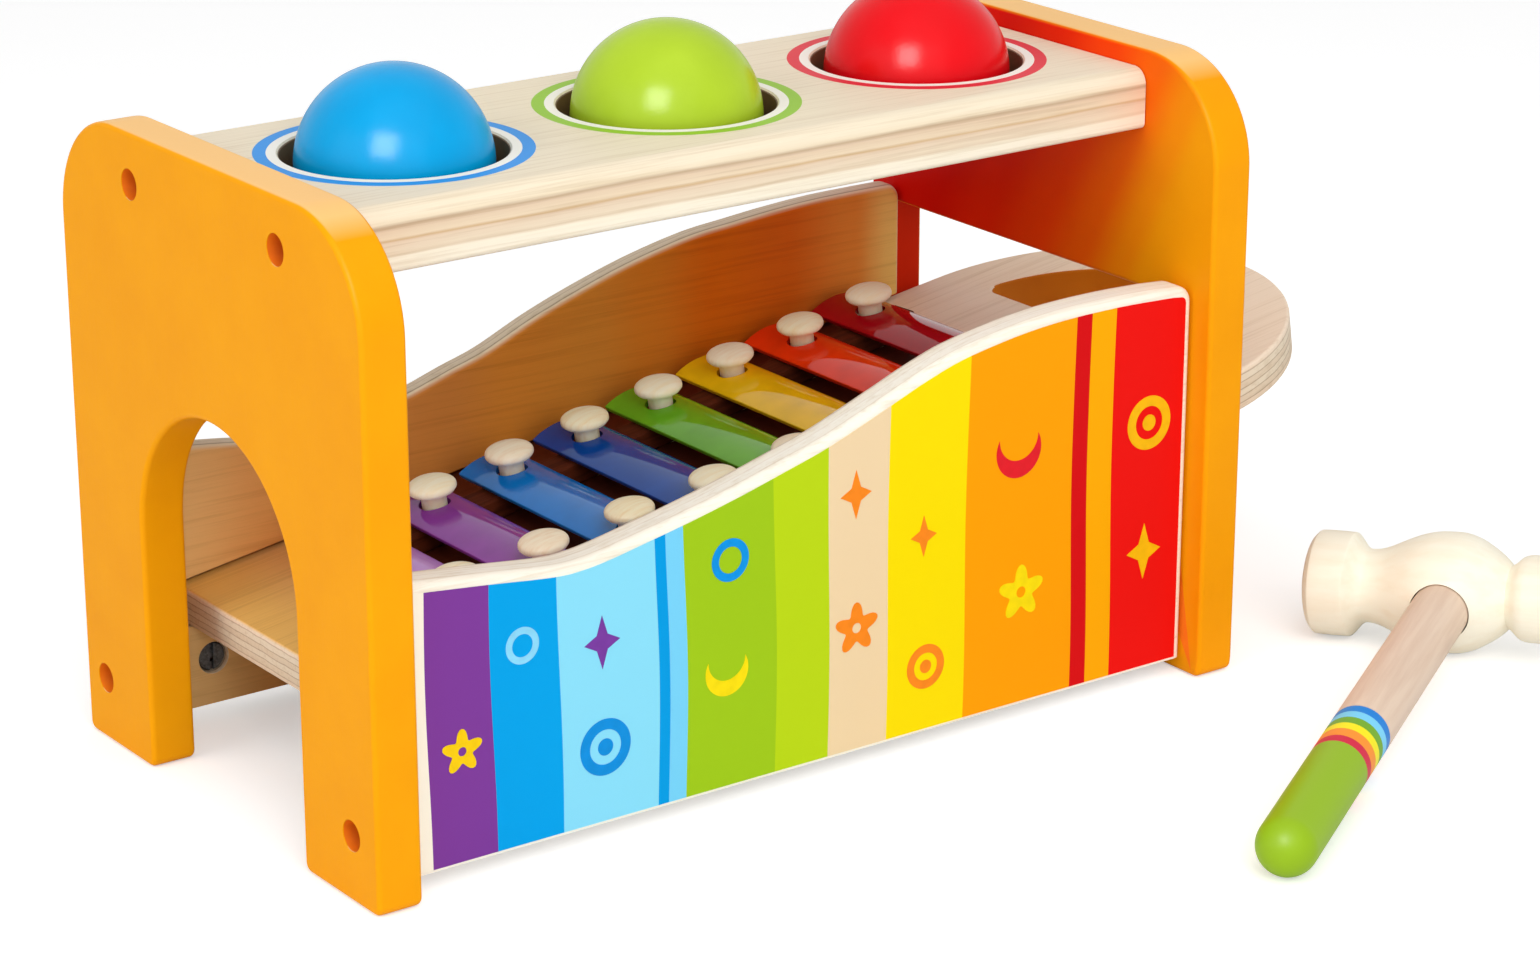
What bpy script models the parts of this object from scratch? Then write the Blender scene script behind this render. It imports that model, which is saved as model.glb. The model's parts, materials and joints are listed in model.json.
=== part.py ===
"""Wooden pounding bench with a slide out xylophone, three balls and a mallet, as separate solids."""
import math

import bmesh
import bpy
from mathutils import Matrix, Vector

# Bench
bench_length = 0.240
bench_depth = 0.130
bench_height = 0.150
fit_gap = 0.0003

# End panels
end_thickness = 0.011
end_corner_radius = 0.025
end_foot_radius = 0.0022
end_edge_radius = 0.0016
arch_radius = 0.034
arch_height = 0.092
window_side_gap = 0.0025
window_floor_gap = 0.0030
window_peg_gap = 0.0072
window_corner_radius = 0.0031

# Top plate
plate_depth = 0.080
plate_thickness = 0.0145
plate_drop = 0.0045
plate_upper_radius = 0.004
plate_lower_radius = 0.0015

# Balls and the rubber rings that hold them
ball_radius = 0.022
ball_end_margin = 0.0121
ball_drop = 0.003
ball_hole_radius = 0.025
ring_drop = 0.007
ring_section_radius = 0.0025

# Side panels, with the top edges as shares of their length and rise
front_thickness = 0.009
rear_thickness = 0.0067
side_setback = 0.006
side_foot = 0.004
side_rise = 0.094
side_edge_radius = 0.002
side_left_radius = 0.003
side_right_radius = 0.004
front_top_shares = (
    (0.000, 0.708), (0.028, 0.702), (0.098, 0.684), (0.174, 0.663), (0.208, 0.663), (0.239, 0.672),
    (0.284, 0.692), (0.336, 0.716), (0.398, 0.749), (0.454, 0.783), (0.511, 0.820), (0.588, 0.885),
    (0.638, 0.928), (0.693, 0.964), (0.788, 0.996), (0.890, 1.003), (1.000, 0.993),
)
rear_top_shares = (
    (0.000, 0.699), (0.095, 0.670), (0.155, 0.649), (0.206, 0.645), (0.252, 0.659), (0.321, 0.695),
    (0.377, 0.735), (0.425, 0.768), (0.489, 0.830), (0.553, 0.881), (0.624, 0.928), (0.700, 0.964),
    (0.760, 0.978), (0.820, 0.990), (0.890, 0.998), (1.000, 0.998),
)

# Ramp that the xylophone slides on: rise over run, and height of its top at the bench's left face
ramp_rise_share = 0.156
ramp_height = 0.0317

# Xylophone board, measured along the ramp
board_thickness = 0.01035
board_tongue = 0.0031
board_start_gap = 0.0080
board_overhang = 0.0027
board_edge_radius = 0.0008
finger_hole_setback = 0.0032
finger_hole_rim = 0.0161
finger_hole_corner_radius = 0.0041
groove_headroom = 0.0015

# Keys, rails and pegs
key_count = 8
key_first_gap = 0.0315
key_last_gap = 0.0345
key_width = 0.016
key_end_gap = 0.0043
key_half_length_step = 0.00205
key_crown_radius = 0.0178
key_metal = 0.0016
key_edge_radius = 0.00025
key_hole_radius = 0.0038
rail_width = 0.008
rail_height = 0.006
rail_overhang = 0.011
rail_edge_radius = 0.0006
peg_first_inset = 0.0104
peg_last_inset = 0.0148
peg_head_radius = 0.00585
peg_head_height = 0.0032
peg_rim_height = 0.0010
peg_under_radius = 0.0053
peg_stem_radius = 0.0030
peg_sink = 0.0060
peg_headroom = 0.0030
peg_dome_shares = ((0.00, 1.00), (0.42, 0.93), (0.74, 0.76), (0.93, 0.50))

# Bolts and barrel nuts
bolt_recess = 0.0050
bolt_head_radius = 0.0034
bolt_head_height = 0.0032
bolt_shank_radius = 0.0018
bolt_hole_radius = 0.0040
bolt_socket_radius = 0.0017
bolt_socket_depth = 0.0018
nut_radius = 0.0035
nut_length = 0.0045
nut_panel_margin = 0.0153
nut_slot_width = 0.0010
nut_slot_depth = 0.0010
low_bolt_inset = 0.0114
high_bolt_inset = 0.0083

# Mallet
mallet_beyond_end = 0.0521
mallet_ahead = 0.0215
mallet_turn = 211.0
mallet_bulge_radius = 0.01485
mallet_rim_radius = 0.0129
mallet_rim_reach = 0.0324
mallet_neck_radius = 0.0091
mallet_waist_radius = 0.00775
mallet_tail_radius = 0.0107
mallet_face_reach = 0.0370
mallet_tail_reach = 0.0318
handle_radius = 0.0070
handle_reach = 0.1436
handle_inset = 0.0020
face_shares = ((1.000, 0.00), (0.992, 0.23), (0.976, 0.47), (0.957, 0.68), (0.935, 0.87), (0.908, 0.96))
rim_shares = ((0.876, 1.00), (0.692, 1.00), (0.659, 0.97), (0.632, 0.88))
neck_shares = ((0.600, 1.09), (0.568, 1.01), (0.541, 1.00), (0.486, 1.03), (0.419, 1.12))
bulge_shares = ((-0.324, 0.80), (-0.216, 0.916), (-0.108, 0.983), (0.0, 1.0))
crown_shares = ((0.094, 0.990), (0.204, 0.916), (0.314, 0.781), (0.393, 0.660))
waist_shares = ((0.459, 1.00), (0.497, 1.11), (0.541, 1.28))
tail_shares = (
    (0.585, 0.985), (0.645, 1.00), (0.880, 1.00), (0.928, 0.963),
    (0.959, 0.878), (0.981, 0.654), (0.994, 0.327), (1.0, 0.0),
)

# Facets
round_steps = 28
curve_steps = 2
head_steps = 24
handle_steps = 16
small_steps = 12
ring_steps = 8
corner_steps = 4

# Colours and finishes
orange = (0.93, 0.36, 0.02)
beech = (0.86, 0.69, 0.48)
pale_wood = (0.93, 0.80, 0.62)
steel = (0.28, 0.28, 0.30)
rubber_grey = (0.05, 0.05, 0.05)
ball_colours = {"left": (0.0, 0.30, 0.83), "middle": (0.30, 0.58, 0.02), "right": (0.83, 0.01, 0.02)}
key_colours = (
    (0.47, 0.36, 0.73), (0.33, 0.09, 0.45), (0.02, 0.27, 0.62), (0.02, 0.13, 0.45),
    (0.22, 0.52, 0.06), (0.88, 0.56, 0.01), (0.84, 0.06, 0.02), (0.45, 0.01, 0.03),
)
key_names = ("violet", "purple", "sky", "blue", "green", "yellow", "red", "crimson")

for old in list(bpy.data.objects):
    bpy.data.objects.remove(old)

# Collections, parent frames and materials
part_group = bpy.data.collections.new("xylophone_pounding_bench")
cutter_group = bpy.data.collections.new("cutters")
bpy.context.scene.collection.children.link(part_group)
bpy.context.scene.collection.children.link(cutter_group)
half_turn = math.pi
quarter_turn = half_turn / 2

# Places that several pieces share: the plate's top, the walls the board runs between, the keys' and pegs' places
centre_y = bench_depth / 2
middle_x = bench_length / 2
plate_top = bench_height - plate_drop
front_wall_y = side_setback + front_thickness
rear_wall_y = bench_depth - side_setback - rear_thickness
inner_half_width = (rear_wall_y - front_wall_y) / 2
tray_y = front_wall_y + inner_half_width
ramp_angle = math.atan(ramp_rise_share)
board_run = math.cos(ramp_angle)
board_half_width = inner_half_width + board_tongue
board_start = end_thickness / board_run + board_start_gap
ramp_end = bench_length / board_run
board_arc_centre = ramp_end + board_overhang
key_gaps = key_count - 1
key_first = board_start + key_first_gap
key_pitch = (ramp_end - key_last_gap - key_first) / key_gaps
key_half_length = inner_half_width - key_end_gap - key_gaps * key_half_length_step
peg_spread = key_half_length - peg_first_inset
peg_spread_step = (inner_half_width - key_end_gap - peg_last_inset - peg_spread) / key_gaps
key_angle = math.asin(key_width / 2 / key_crown_radius) / half_turn
key_inner_radius = key_crown_radius - key_metal
key_foot = key_inner_radius * math.cos(half_turn * key_angle)
key_z = rail_height + fit_gap - key_foot
key_crest = key_z + key_crown_radius
peg_under = key_crest + peg_headroom
peg_top = peg_under + peg_head_height


def paint(name, colour, roughness, metallic):
    """A plain material with its own colour, roughness and metallic value."""
    material = bpy.data.materials.new(name)
    material.use_nodes = True
    shader = material.node_tree.nodes["Principled BSDF"]
    shader.inputs["Base Color"].default_value = (*colour, 1.0)
    shader.inputs["Roughness"].default_value = roughness
    shader.inputs["Metallic"].default_value = metallic
    material.diffuse_color = (*colour, 1.0)
    return material


orange_paint = paint("orange_paint", orange, 0.45, 0.0)
panel_wood = paint("panel_wood", beech, 0.6, 0.0)
peg_wood = paint("peg_wood", pale_wood, 0.55, 0.0)
zinc = paint("zinc", steel, 0.4, 1.0)
ring_rubber = paint("ring_rubber", rubber_grey, 0.8, 0.0)


def empty(name, location, rotation, parent):
    """A parent frame at a place and turn of its own."""
    frame = bpy.data.objects.new(name, None)
    part_group.objects.link(frame)
    frame.location = location
    frame.rotation_euler = rotation
    frame.parent = parent
    return frame


bench_frame = empty("bench_frame", (0.0, 0.0, 0.0), (0.0, 0.0, 0.0), None)
tray_frame = empty("tray_frame", (0.0, tray_y, ramp_height), (0.0, -ramp_angle, 0.0), bench_frame)


def place(obj, material, parent, location, rotation):
    """Puts a finished piece in the part's collection with its material, parent and place."""
    for holder in list(obj.users_collection):
        holder.objects.unlink(obj)
    part_group.objects.link(obj)
    obj.data.materials.clear()
    obj.data.materials.append(material)
    obj.parent = parent
    obj.location = location
    obj.rotation_euler = rotation
    obj.data.shade_smooth()
    obj.data.set_sharp_from_angle(angle=math.radians(32))
    return obj


def cutter(obj, parent, location, rotation):
    """Puts a cutting shape in the cutters' collection, out of the render."""
    for holder in list(obj.users_collection):
        holder.objects.unlink(obj)
    cutter_group.objects.link(obj)
    obj.parent = parent
    obj.location = location
    obj.rotation_euler = rotation
    obj.hide_render = True
    obj.display_type = "WIRE"
    return obj


def cut(target, *tools):
    """Takes each tool's shape out of the target."""
    for tool in tools:
        step = target.modifiers.new("cut_" + tool.name, "BOOLEAN")
        step.operation = "DIFFERENCE"
        step.solver = "EXACT"
        step.object = tool


def facet(target):
    """Splits the faces into triangles, so that cuts near a hole stay clean."""
    target.modifiers.new("facets", "TRIANGULATE")


def round_edges(target, radius, steps):
    """Rounds the edges that are sharper than the facets of a curve."""
    bevel = target.modifiers.new("rounded_edges", "BEVEL")
    bevel.width = radius
    bevel.segments = steps
    bevel.limit_method = "ANGLE"
    bevel.angle_limit = math.radians(35)
    bevel.use_clamp_overlap = False


def arc(centre, radius, start, end, steps):
    """Points along an arc, both ends included, angles in turns of a half circle."""
    points = []
    for i in range(steps + 1):
        angle = half_turn * (start + (end - start) * i / steps)
        points.append((centre[0] + radius * math.cos(angle), centre[1] + radius * math.sin(angle)))
    return points


def slab(name, loops, thickness):
    """A flat outline, with any holes, thickened evenly to both sides."""
    curve = bpy.data.curves.new(name + "_outline", "CURVE")
    curve.dimensions = "2D"
    curve.fill_mode = "BOTH"
    curve.extrude = thickness / 2
    for loop in loops:
        spline = curve.splines.new("POLY")
        spline.points.add(len(loop) - 1)
        for point, (u, v) in zip(spline.points, loop):
            point.co = (u, v, 0.0, 1.0)
        spline.use_cyclic_u = True
    drawn = bpy.data.objects.new(name + "_outline", curve)
    bpy.context.scene.collection.objects.link(drawn)
    graph = bpy.context.evaluated_depsgraph_get()
    mesh = bpy.data.meshes.new_from_object(drawn.evaluated_get(graph))
    bpy.data.objects.remove(drawn)
    bpy.data.curves.remove(curve)
    body = bmesh.new()
    body.from_mesh(mesh)
    bmesh.ops.remove_doubles(body, verts=body.verts, dist=fit_gap / 100)
    bmesh.ops.dissolve_limit(body, angle_limit=math.radians(1), verts=body.verts, edges=body.edges)
    bmesh.ops.recalc_face_normals(body, faces=body.faces)
    body.to_mesh(mesh)
    body.free()
    mesh.name = name
    solid = bpy.data.objects.new(name, mesh)
    bpy.context.scene.collection.objects.link(solid)
    return solid


def turned(name, profile, steps):
    """A shape turned on a lathe from its profile, top to bottom."""
    mesh = bpy.data.meshes.new(name)
    mesh.from_pydata([(r, 0.0, z) for r, z in profile], [(i, i + 1) for i in range(len(profile) - 1)], [])
    solid = bpy.data.objects.new(name, mesh)
    bpy.context.scene.collection.objects.link(solid)
    screw = solid.modifiers.new("turning", "SCREW")
    screw.axis = "Z"
    screw.angle = 2 * half_turn
    screw.steps = steps
    screw.render_steps = steps
    screw.use_merge_vertices = True
    screw.merge_threshold = fit_gap / 100
    return solid


def rod(name, radius, length, steps):
    """A plain round rod, centred."""
    bpy.ops.mesh.primitive_cylinder_add(vertices=steps, radius=radius, depth=length)
    solid = bpy.context.object
    solid.name = name
    return solid


def box(name, size):
    """A plain block, centred."""
    bpy.ops.mesh.primitive_cube_add(size=1.0)
    solid = bpy.context.object
    solid.name = name
    solid.data.transform(Matrix.Diagonal((*size, 1.0)))
    return solid


def smooth_line(points, steps):
    """Extra points on a smooth curve through the given ones."""
    line = []
    last = len(points) - 1
    for i in range(last):
        before = Vector(points[max(i - 1, 0)])
        start = Vector(points[i])
        end = Vector(points[i + 1])
        after = Vector(points[min(i + 2, last)])
        for k in range(steps):
            t = k / steps
            line.append(tuple(
                start + (end - before) * t / 2
                + (before * 2 - start * 5 + end * 4 - after) * t * t / 2
                + (start * 3 - before - end * 3 + after) * t * t * t / 2
            ))
    line.append(tuple(points[last]))
    return line


# End panels: a round shouldered board, the left with a doorway, the right with a window for the ramp
standing = (quarter_turn, 0.0, quarter_turn)
shoulder_z = bench_height - end_corner_radius
shoulder_steps = 2 * corner_steps
right_shoulder = arc((bench_depth - end_corner_radius, shoulder_z), end_corner_radius, 0.0, 0.5, shoulder_steps)
left_shoulder = arc((end_corner_radius, shoulder_z), end_corner_radius, 0.5, 1.0, shoulder_steps)
rear_toe = arc((bench_depth - end_foot_radius, end_foot_radius), end_foot_radius, -0.5, 0.0, corner_steps)
front_toe = arc((end_foot_radius, end_foot_radius), end_foot_radius, 1.0, 1.5, corner_steps)
doorway = (
    arc((centre_y - arch_radius - end_foot_radius, end_foot_radius), end_foot_radius, -0.5, 0.0, corner_steps)
    + arc((centre_y, arch_height - arch_radius), arch_radius, 1.0, 0.0, round_steps // 2)
    + arc((centre_y + arch_radius + end_foot_radius, end_foot_radius), end_foot_radius, 1.0, 1.5, corner_steps)
)
panel_edge = rear_toe + right_shoulder + left_shoulder + front_toe
left_end_panel = slab("left_end_panel", [panel_edge + doorway], end_thickness)
window_half_width = board_half_width + window_side_gap
ramp_rise = ramp_height + ramp_rise_share * (bench_length - end_thickness)
window_bottom = ramp_rise - board_thickness / board_run - window_floor_gap
window_top = ramp_height + ramp_rise_share * bench_length + peg_top / board_run + window_peg_gap
window_left = tray_y - window_half_width + window_corner_radius
window_right = tray_y + window_half_width - window_corner_radius
window_low = window_bottom + window_corner_radius
window_high = window_top - window_corner_radius
window = (
    arc((window_left, window_low), window_corner_radius, 1.0, 1.5, corner_steps)
    + arc((window_right, window_low), window_corner_radius, -0.5, 0.0, corner_steps)
    + arc((window_right, window_high), window_corner_radius, 0.0, 0.5, corner_steps)
    + arc((window_left, window_high), window_corner_radius, 0.5, 1.0, corner_steps)
)
right_end_panel = slab("right_end_panel", [panel_edge, window], end_thickness)
place(left_end_panel, orange_paint, bench_frame, (end_thickness / 2, 0.0, 0.0), standing)
place(right_end_panel, orange_paint, bench_frame, (bench_length - end_thickness / 2, 0.0, 0.0), standing)
for end_panel in (left_end_panel, right_end_panel):
    round_edges(end_panel, end_edge_radius, 2)
    facet(end_panel)

# Top plate: a thick plywood board with rounded long edges and three ball holes
inner_length = bench_length - 2 * (end_thickness + fit_gap)
half_plate = plate_depth / 2
upper_inset = half_plate - plate_upper_radius
lower_inset = half_plate - plate_lower_radius
plate_section = (
    arc((lower_inset, plate_lower_radius), plate_lower_radius, -0.5, 0.0, corner_steps)
    + arc((upper_inset, plate_thickness - plate_upper_radius), plate_upper_radius, 0.0, 0.5, corner_steps)
    + arc((-upper_inset, plate_thickness - plate_upper_radius), plate_upper_radius, 0.5, 1.0, corner_steps)
    + arc((-lower_inset, plate_lower_radius), plate_lower_radius, 1.0, 1.5, corner_steps)
)
top_plate = slab("top_plate", [plate_section], inner_length)
place(top_plate, panel_wood, bench_frame, (middle_x, centre_y, plate_top - plate_thickness), standing)
ball_z = plate_top - ball_drop
ball_pitch = middle_x - end_thickness - ball_end_margin - ball_hole_radius
ring_radius = math.sqrt((ball_radius + fit_gap + ring_section_radius) ** 2 - ring_drop ** 2)
ring_seat_radius = ring_section_radius + fit_gap
seat_opening = math.acos((ball_hole_radius - ring_radius) / ring_seat_radius) / half_turn
ball_hole_profile = (
    [(0.0, plate_thickness), (ball_hole_radius, plate_thickness)]
    + arc((ring_radius, 0.0), ring_seat_radius, seat_opening, -seat_opening, ring_steps // 2)
    + [(ball_hole_radius, -plate_thickness), (0.0, -plate_thickness)]
)
for i, side in enumerate(("left", "middle", "right")):
    ball_x = middle_x + (i - 1) * ball_pitch
    ball_hole = turned("ball_hole_" + side, ball_hole_profile, round_steps)
    cutter(ball_hole, bench_frame, (ball_x, centre_y, ball_z - ring_drop), (0.0, 0.0, 0.0))
    cut(top_plate, ball_hole)
    bpy.ops.mesh.primitive_torus_add(
        major_segments=round_steps, minor_segments=ring_steps,
        major_radius=ring_radius, minor_radius=ring_section_radius,
    )
    ring = bpy.context.object
    ring.name = side + "_ball_ring"
    place(ring, ring_rubber, bench_frame, (ball_x, centre_y, ball_z - ring_drop), (0.0, 0.0, 0.0))
    bpy.ops.mesh.primitive_uv_sphere_add(segments=round_steps, ring_count=round_steps // 2, radius=ball_radius)
    ball = bpy.context.object
    ball.name = side + "_ball"
    ball_paint = paint(side + "_ball_paint", ball_colours[side], 0.25, 0.0)
    place(ball, ball_paint, bench_frame, (ball_x, centre_y, ball_z), (0.0, 0.0, 0.0))

# Side panels: plywood boards with a swept top edge and a groove that the xylophone board slides in
groove_height = board_thickness + groove_headroom + fit_gap
groove_middle = (groove_headroom - board_thickness - fit_gap) / 2
groove_depth = board_tongue + fit_gap
groove_radius = groove_height / 2
groove_stop_reach = math.sqrt(groove_radius ** 2 - (groove_radius - fit_gap) ** 2)
groove_start = board_start - fit_gap + groove_stop_reach
groove_outline = (
    arc((groove_start, groove_middle), groove_radius, 0.5, 1.5, 2 * corner_steps)
    + [(ramp_end, groove_middle - groove_radius), (ramp_end, groove_middle + groove_radius)]
)
side_y = {
    "front": side_setback + front_thickness / 2,
    "rear": bench_depth - side_setback - rear_thickness / 2,
}
upright = (quarter_turn, 0.0, 0.0)
side_panels = {}
for side, shares, thickness, wall_y in (
    ("front", front_top_shares, front_thickness, front_wall_y),
    ("rear", rear_top_shares, rear_thickness, rear_wall_y),
):
    swept = smooth_line([(u * inner_length, v * side_rise) for u, v in shares], curve_steps)
    left_top = swept[0][1]
    right_top = swept[-1][1]
    right_centre = (inner_length - side_right_radius, right_top - side_right_radius)
    right_corner = arc(right_centre, side_right_radius, 0.0, 0.5, corner_steps)
    left_corner = arc((side_left_radius, left_top - side_left_radius), side_left_radius, 0.5, 1.0, corner_steps)
    between = [
        point for point in reversed(swept)
        if 2 * side_left_radius < point[0] < inner_length - 2 * side_right_radius
    ]
    outline = [(0.0, 0.0), (inner_length, 0.0)] + right_corner + between + left_corner
    panel = slab(side + "_panel", [outline], thickness)
    place(panel, panel_wood, bench_frame, (end_thickness + fit_gap, side_y[side], side_foot), upright)
    round_edges(panel, side_edge_radius, 2)
    groove = slab(side + "_groove", [groove_outline], 2 * groove_depth)
    cutter(groove, tray_frame, (0.0, wall_y - tray_y, 0.0), upright)
    cut(panel, groove)
    side_panels[side] = panel

# Xylophone board: a plywood tongue with a round end and a finger hole
board_edge = (
    [(board_start, board_half_width), (board_start, -board_half_width)]
    + arc((board_arc_centre, 0.0), board_half_width, -0.5, 0.5, round_steps)
)
finger_hole_radius = board_half_width - finger_hole_rim
corner_shift = finger_hole_setback + finger_hole_corner_radius
corner_reach = math.sqrt((finger_hole_radius - finger_hole_corner_radius) ** 2 - corner_shift ** 2)
corner_angle = math.atan2(corner_reach, corner_shift) / half_turn
corner_x = board_arc_centre + corner_shift
finger_edge = (
    arc((board_arc_centre, 0.0), finger_hole_radius, -corner_angle, corner_angle, round_steps // 2)
    + arc((corner_x, corner_reach), finger_hole_corner_radius, corner_angle, 1.0, corner_steps)[1:]
    + arc((corner_x, -corner_reach), finger_hole_corner_radius, 1.0, 2.0 - corner_angle, corner_steps)[:-1]
)
xylophone_board = slab("xylophone_board", [board_edge, finger_edge], board_thickness)
place(xylophone_board, panel_wood, tray_frame, (0.0, 0.0, -board_thickness / 2), (0.0, 0.0, 0.0))
round_edges(xylophone_board, board_edge_radius, 2)

# Rails: two beech strips that carry the keys, spreading with the key lengths
row_run = key_gaps * key_pitch
row_rise = key_gaps * peg_spread_step
row_angle = math.atan2(row_rise, row_run)
row_middle_x = key_first + row_run / 2
row_middle_y = peg_spread + row_rise / 2
rail_length = row_run + 2 * rail_overhang
rails = {}
for side, turn in (("front", -1.0), ("rear", 1.0)):
    rail = box(side + "_key_rail", (rail_length, rail_width, rail_height - fit_gap))
    rail_z = (rail_height + fit_gap) / 2
    place(rail, peg_wood, tray_frame, (row_middle_x, turn * row_middle_y, rail_z), (0.0, 0.0, turn * row_angle))
    round_edges(rail, rail_edge_radius, 1)
    rails[side] = rail

# Keys: arched metal bars, each longer than the one before, held loosely by two pegs
key_section = (
    arc((0.0, 0.0), key_crown_radius, 0.5 - key_angle, 0.5 + key_angle, 2 * corner_steps)
    + arc((0.0, 0.0), key_inner_radius, 0.5 + key_angle, 0.5 - key_angle, 2 * corner_steps)
)
peg_rim = peg_under + peg_rim_height
peg_profile = (
    [(share_r * peg_head_radius, peg_rim + share_z * (peg_top - peg_rim)) for share_r, share_z in peg_dome_shares]
    + [(peg_head_radius, peg_rim), (peg_under_radius, peg_under), (peg_stem_radius, peg_under)]
    + [(peg_stem_radius, fit_gap - peg_sink), (0.0, fit_gap - peg_sink)]
)
peg_bore_radius = peg_stem_radius + fit_gap
for i in range(key_count):
    key_x = key_first + i * key_pitch
    spread = peg_spread + i * peg_spread_step
    half_length = key_half_length + i * key_half_length_step
    key = slab("key_" + str(i + 1) + "_" + key_names[i], [key_section], 2 * half_length)
    key_paint = paint("key_paint_" + key_names[i], key_colours[i], 0.22, 0.3)
    place(key, key_paint, tray_frame, (key_x, 0.0, key_z), upright)
    round_edges(key, key_edge_radius, 1)
    for side, turn in (("front", -1.0), ("rear", 1.0)):
        label = side + "_" + str(i + 1)
        bore_length = 2 * peg_sink
        peg_bore = rod("peg_bore_" + label, peg_bore_radius, bore_length, small_steps)
        cutter(peg_bore, tray_frame, (key_x, turn * spread, 0.0), (0.0, 0.0, 0.0))
        cut(xylophone_board, peg_bore)
        key_bore = rod("key_bore_" + label, key_hole_radius, 2 * key_metal + rail_height, small_steps)
        cutter(key_bore, tray_frame, (key_x, turn * spread, key_crest), (0.0, 0.0, 0.0))
        cut(key, key_bore)
        rail_bore = rod("rail_bore_" + label, peg_bore_radius, 2 * rail_height, small_steps)
        cutter(rail_bore, tray_frame, (key_x, turn * spread, rail_height / 2), (0.0, 0.0, 0.0))
        cut(rails[side], rail_bore)
        peg = turned("peg_" + label, peg_profile, small_steps)
        place(peg, peg_wood, tray_frame, (key_x, turn * spread, 0.0), (0.0, 0.0, 0.0))

# Bolts and barrel nuts: two through each end panel into the top plate, two into the side panels
bolt_seat = bolt_recess + bolt_head_height
nut_distance = end_thickness + nut_panel_margin
nut_bore_radius = nut_radius + fit_gap
bolt_tip = nut_distance + nut_radius - fit_gap
bore_end = nut_distance + nut_bore_radius + fit_gap
bore_radius = bolt_shank_radius + fit_gap
bolt_profile = [
    (0.0, -bolt_recess), (bolt_head_radius, -bolt_recess), (bolt_head_radius, -bolt_seat),
    (bolt_shank_radius, -bolt_seat), (bolt_shank_radius, -bolt_tip), (0.0, -bolt_tip),
]
bore_profile = [
    (0.0, bolt_recess), (bolt_hole_radius, bolt_recess), (bolt_hole_radius, -bolt_seat - fit_gap),
    (bore_radius, -bolt_seat - fit_gap), (bore_radius, -bore_end), (0.0, -bore_end),
]
plate_middle = plate_top - plate_thickness / 2
high_bolt_spread = half_plate - high_bolt_inset
low_bolt_height = side_foot + low_bolt_inset
bolt_places = (
    ("upper_front", centre_y - high_bolt_spread, plate_middle, top_plate, (half_turn, 0.0, 0.0)),
    ("upper_rear", centre_y + high_bolt_spread, plate_middle, top_plate, (half_turn, 0.0, 0.0)),
    ("lower_front", side_y["front"], low_bolt_height, side_panels["front"], (-quarter_turn, 0.0, 0.0)),
    ("lower_rear", side_y["rear"], low_bolt_height, side_panels["rear"], (quarter_turn, 0.0, 0.0)),
)
for end, face_x, turn, panel in (
    ("left", 0.0, -1.0, left_end_panel), ("right", bench_length, 1.0, right_end_panel),
):
    for name, bolt_y, bolt_z, target, facing in bolt_places:
        label = end + "_" + name
        outward = (0.0, turn * quarter_turn, 0.0)
        bolt_bore = turned("bolt_bore_" + label, bore_profile, small_steps)
        cutter(bolt_bore, bench_frame, (face_x, bolt_y, bolt_z), outward)
        cut(panel, bolt_bore)
        cut(target, bolt_bore)
        bolt = turned("bolt_" + label, bolt_profile, small_steps)
        place(bolt, zinc, bench_frame, (face_x, bolt_y, bolt_z), outward)
        socket = rod("socket_" + label, bolt_socket_radius, 2 * bolt_socket_depth, 6)
        cutter(socket, bolt, (0.0, 0.0, -bolt_recess), (0.0, 0.0, 0.0))
        cut(bolt, socket)
        nut_x = face_x - turn * nut_distance
        nut = rod("nut_" + label, nut_radius, nut_length, small_steps)
        place(nut, zinc, bench_frame, (nut_x, bolt_y, bolt_z), facing)
        nut_slot = box("nut_slot_" + label, (nut_slot_width, 3 * nut_radius, 2 * nut_slot_depth))
        cutter(nut_slot, nut, (0.0, 0.0, nut_length / 2), (0.0, 0.0, 0.0))
        cut(nut, bolt_bore, nut_slot)
        nut_bore_length = nut_length + plate_thickness
        nut_bore = rod("nut_bore_" + label, nut_bore_radius, nut_bore_length, small_steps)
        bore_shift = (nut_bore_length - nut_length) / 2 - fit_gap
        cutter(nut_bore, nut, (0.0, 0.0, bore_shift), (0.0, 0.0, 0.0))
        cut(target, nut_bore)

# Mallet: a turned head with a round ended handle, lying on the floor beside the bench
handle_fall = math.asin((mallet_bulge_radius - handle_radius) / handle_reach)
rim_angle = math.atan2(mallet_rim_radius, mallet_rim_reach)
mallet_roll = math.asin(mallet_bulge_radius / math.hypot(mallet_rim_radius, mallet_rim_reach)) - rim_angle
mallet_frame = empty(
    "mallet_frame", (bench_length + mallet_beyond_end, -mallet_ahead, mallet_bulge_radius),
    (mallet_roll, handle_fall, math.radians(mallet_turn)), bench_frame,
)
head_profile = [(v * mallet_tail_radius, u * mallet_tail_reach) for u, v in reversed(tail_shares)]
head_profile += [(v * mallet_waist_radius, u * mallet_tail_reach) for u, v in reversed(waist_shares)]
head_profile += [(v * mallet_bulge_radius, u * mallet_tail_reach) for u, v in reversed(crown_shares)]
head_profile += [(v * mallet_bulge_radius, u * mallet_face_reach) for u, v in reversed(bulge_shares)]
head_profile += [(v * mallet_neck_radius, -u * mallet_face_reach) for u, v in reversed(neck_shares)]
head_profile += [(v * mallet_rim_radius, -u * mallet_face_reach) for u, v in reversed(rim_shares)]
head_profile += [(v * mallet_rim_radius, -u * mallet_face_reach) for u, v in reversed(face_shares)]
mallet_head = turned("mallet_head", head_profile, head_steps)
place(mallet_head, peg_wood, mallet_frame, (0.0, 0.0, 0.0), (-quarter_turn, 0.0, 0.0))
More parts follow.
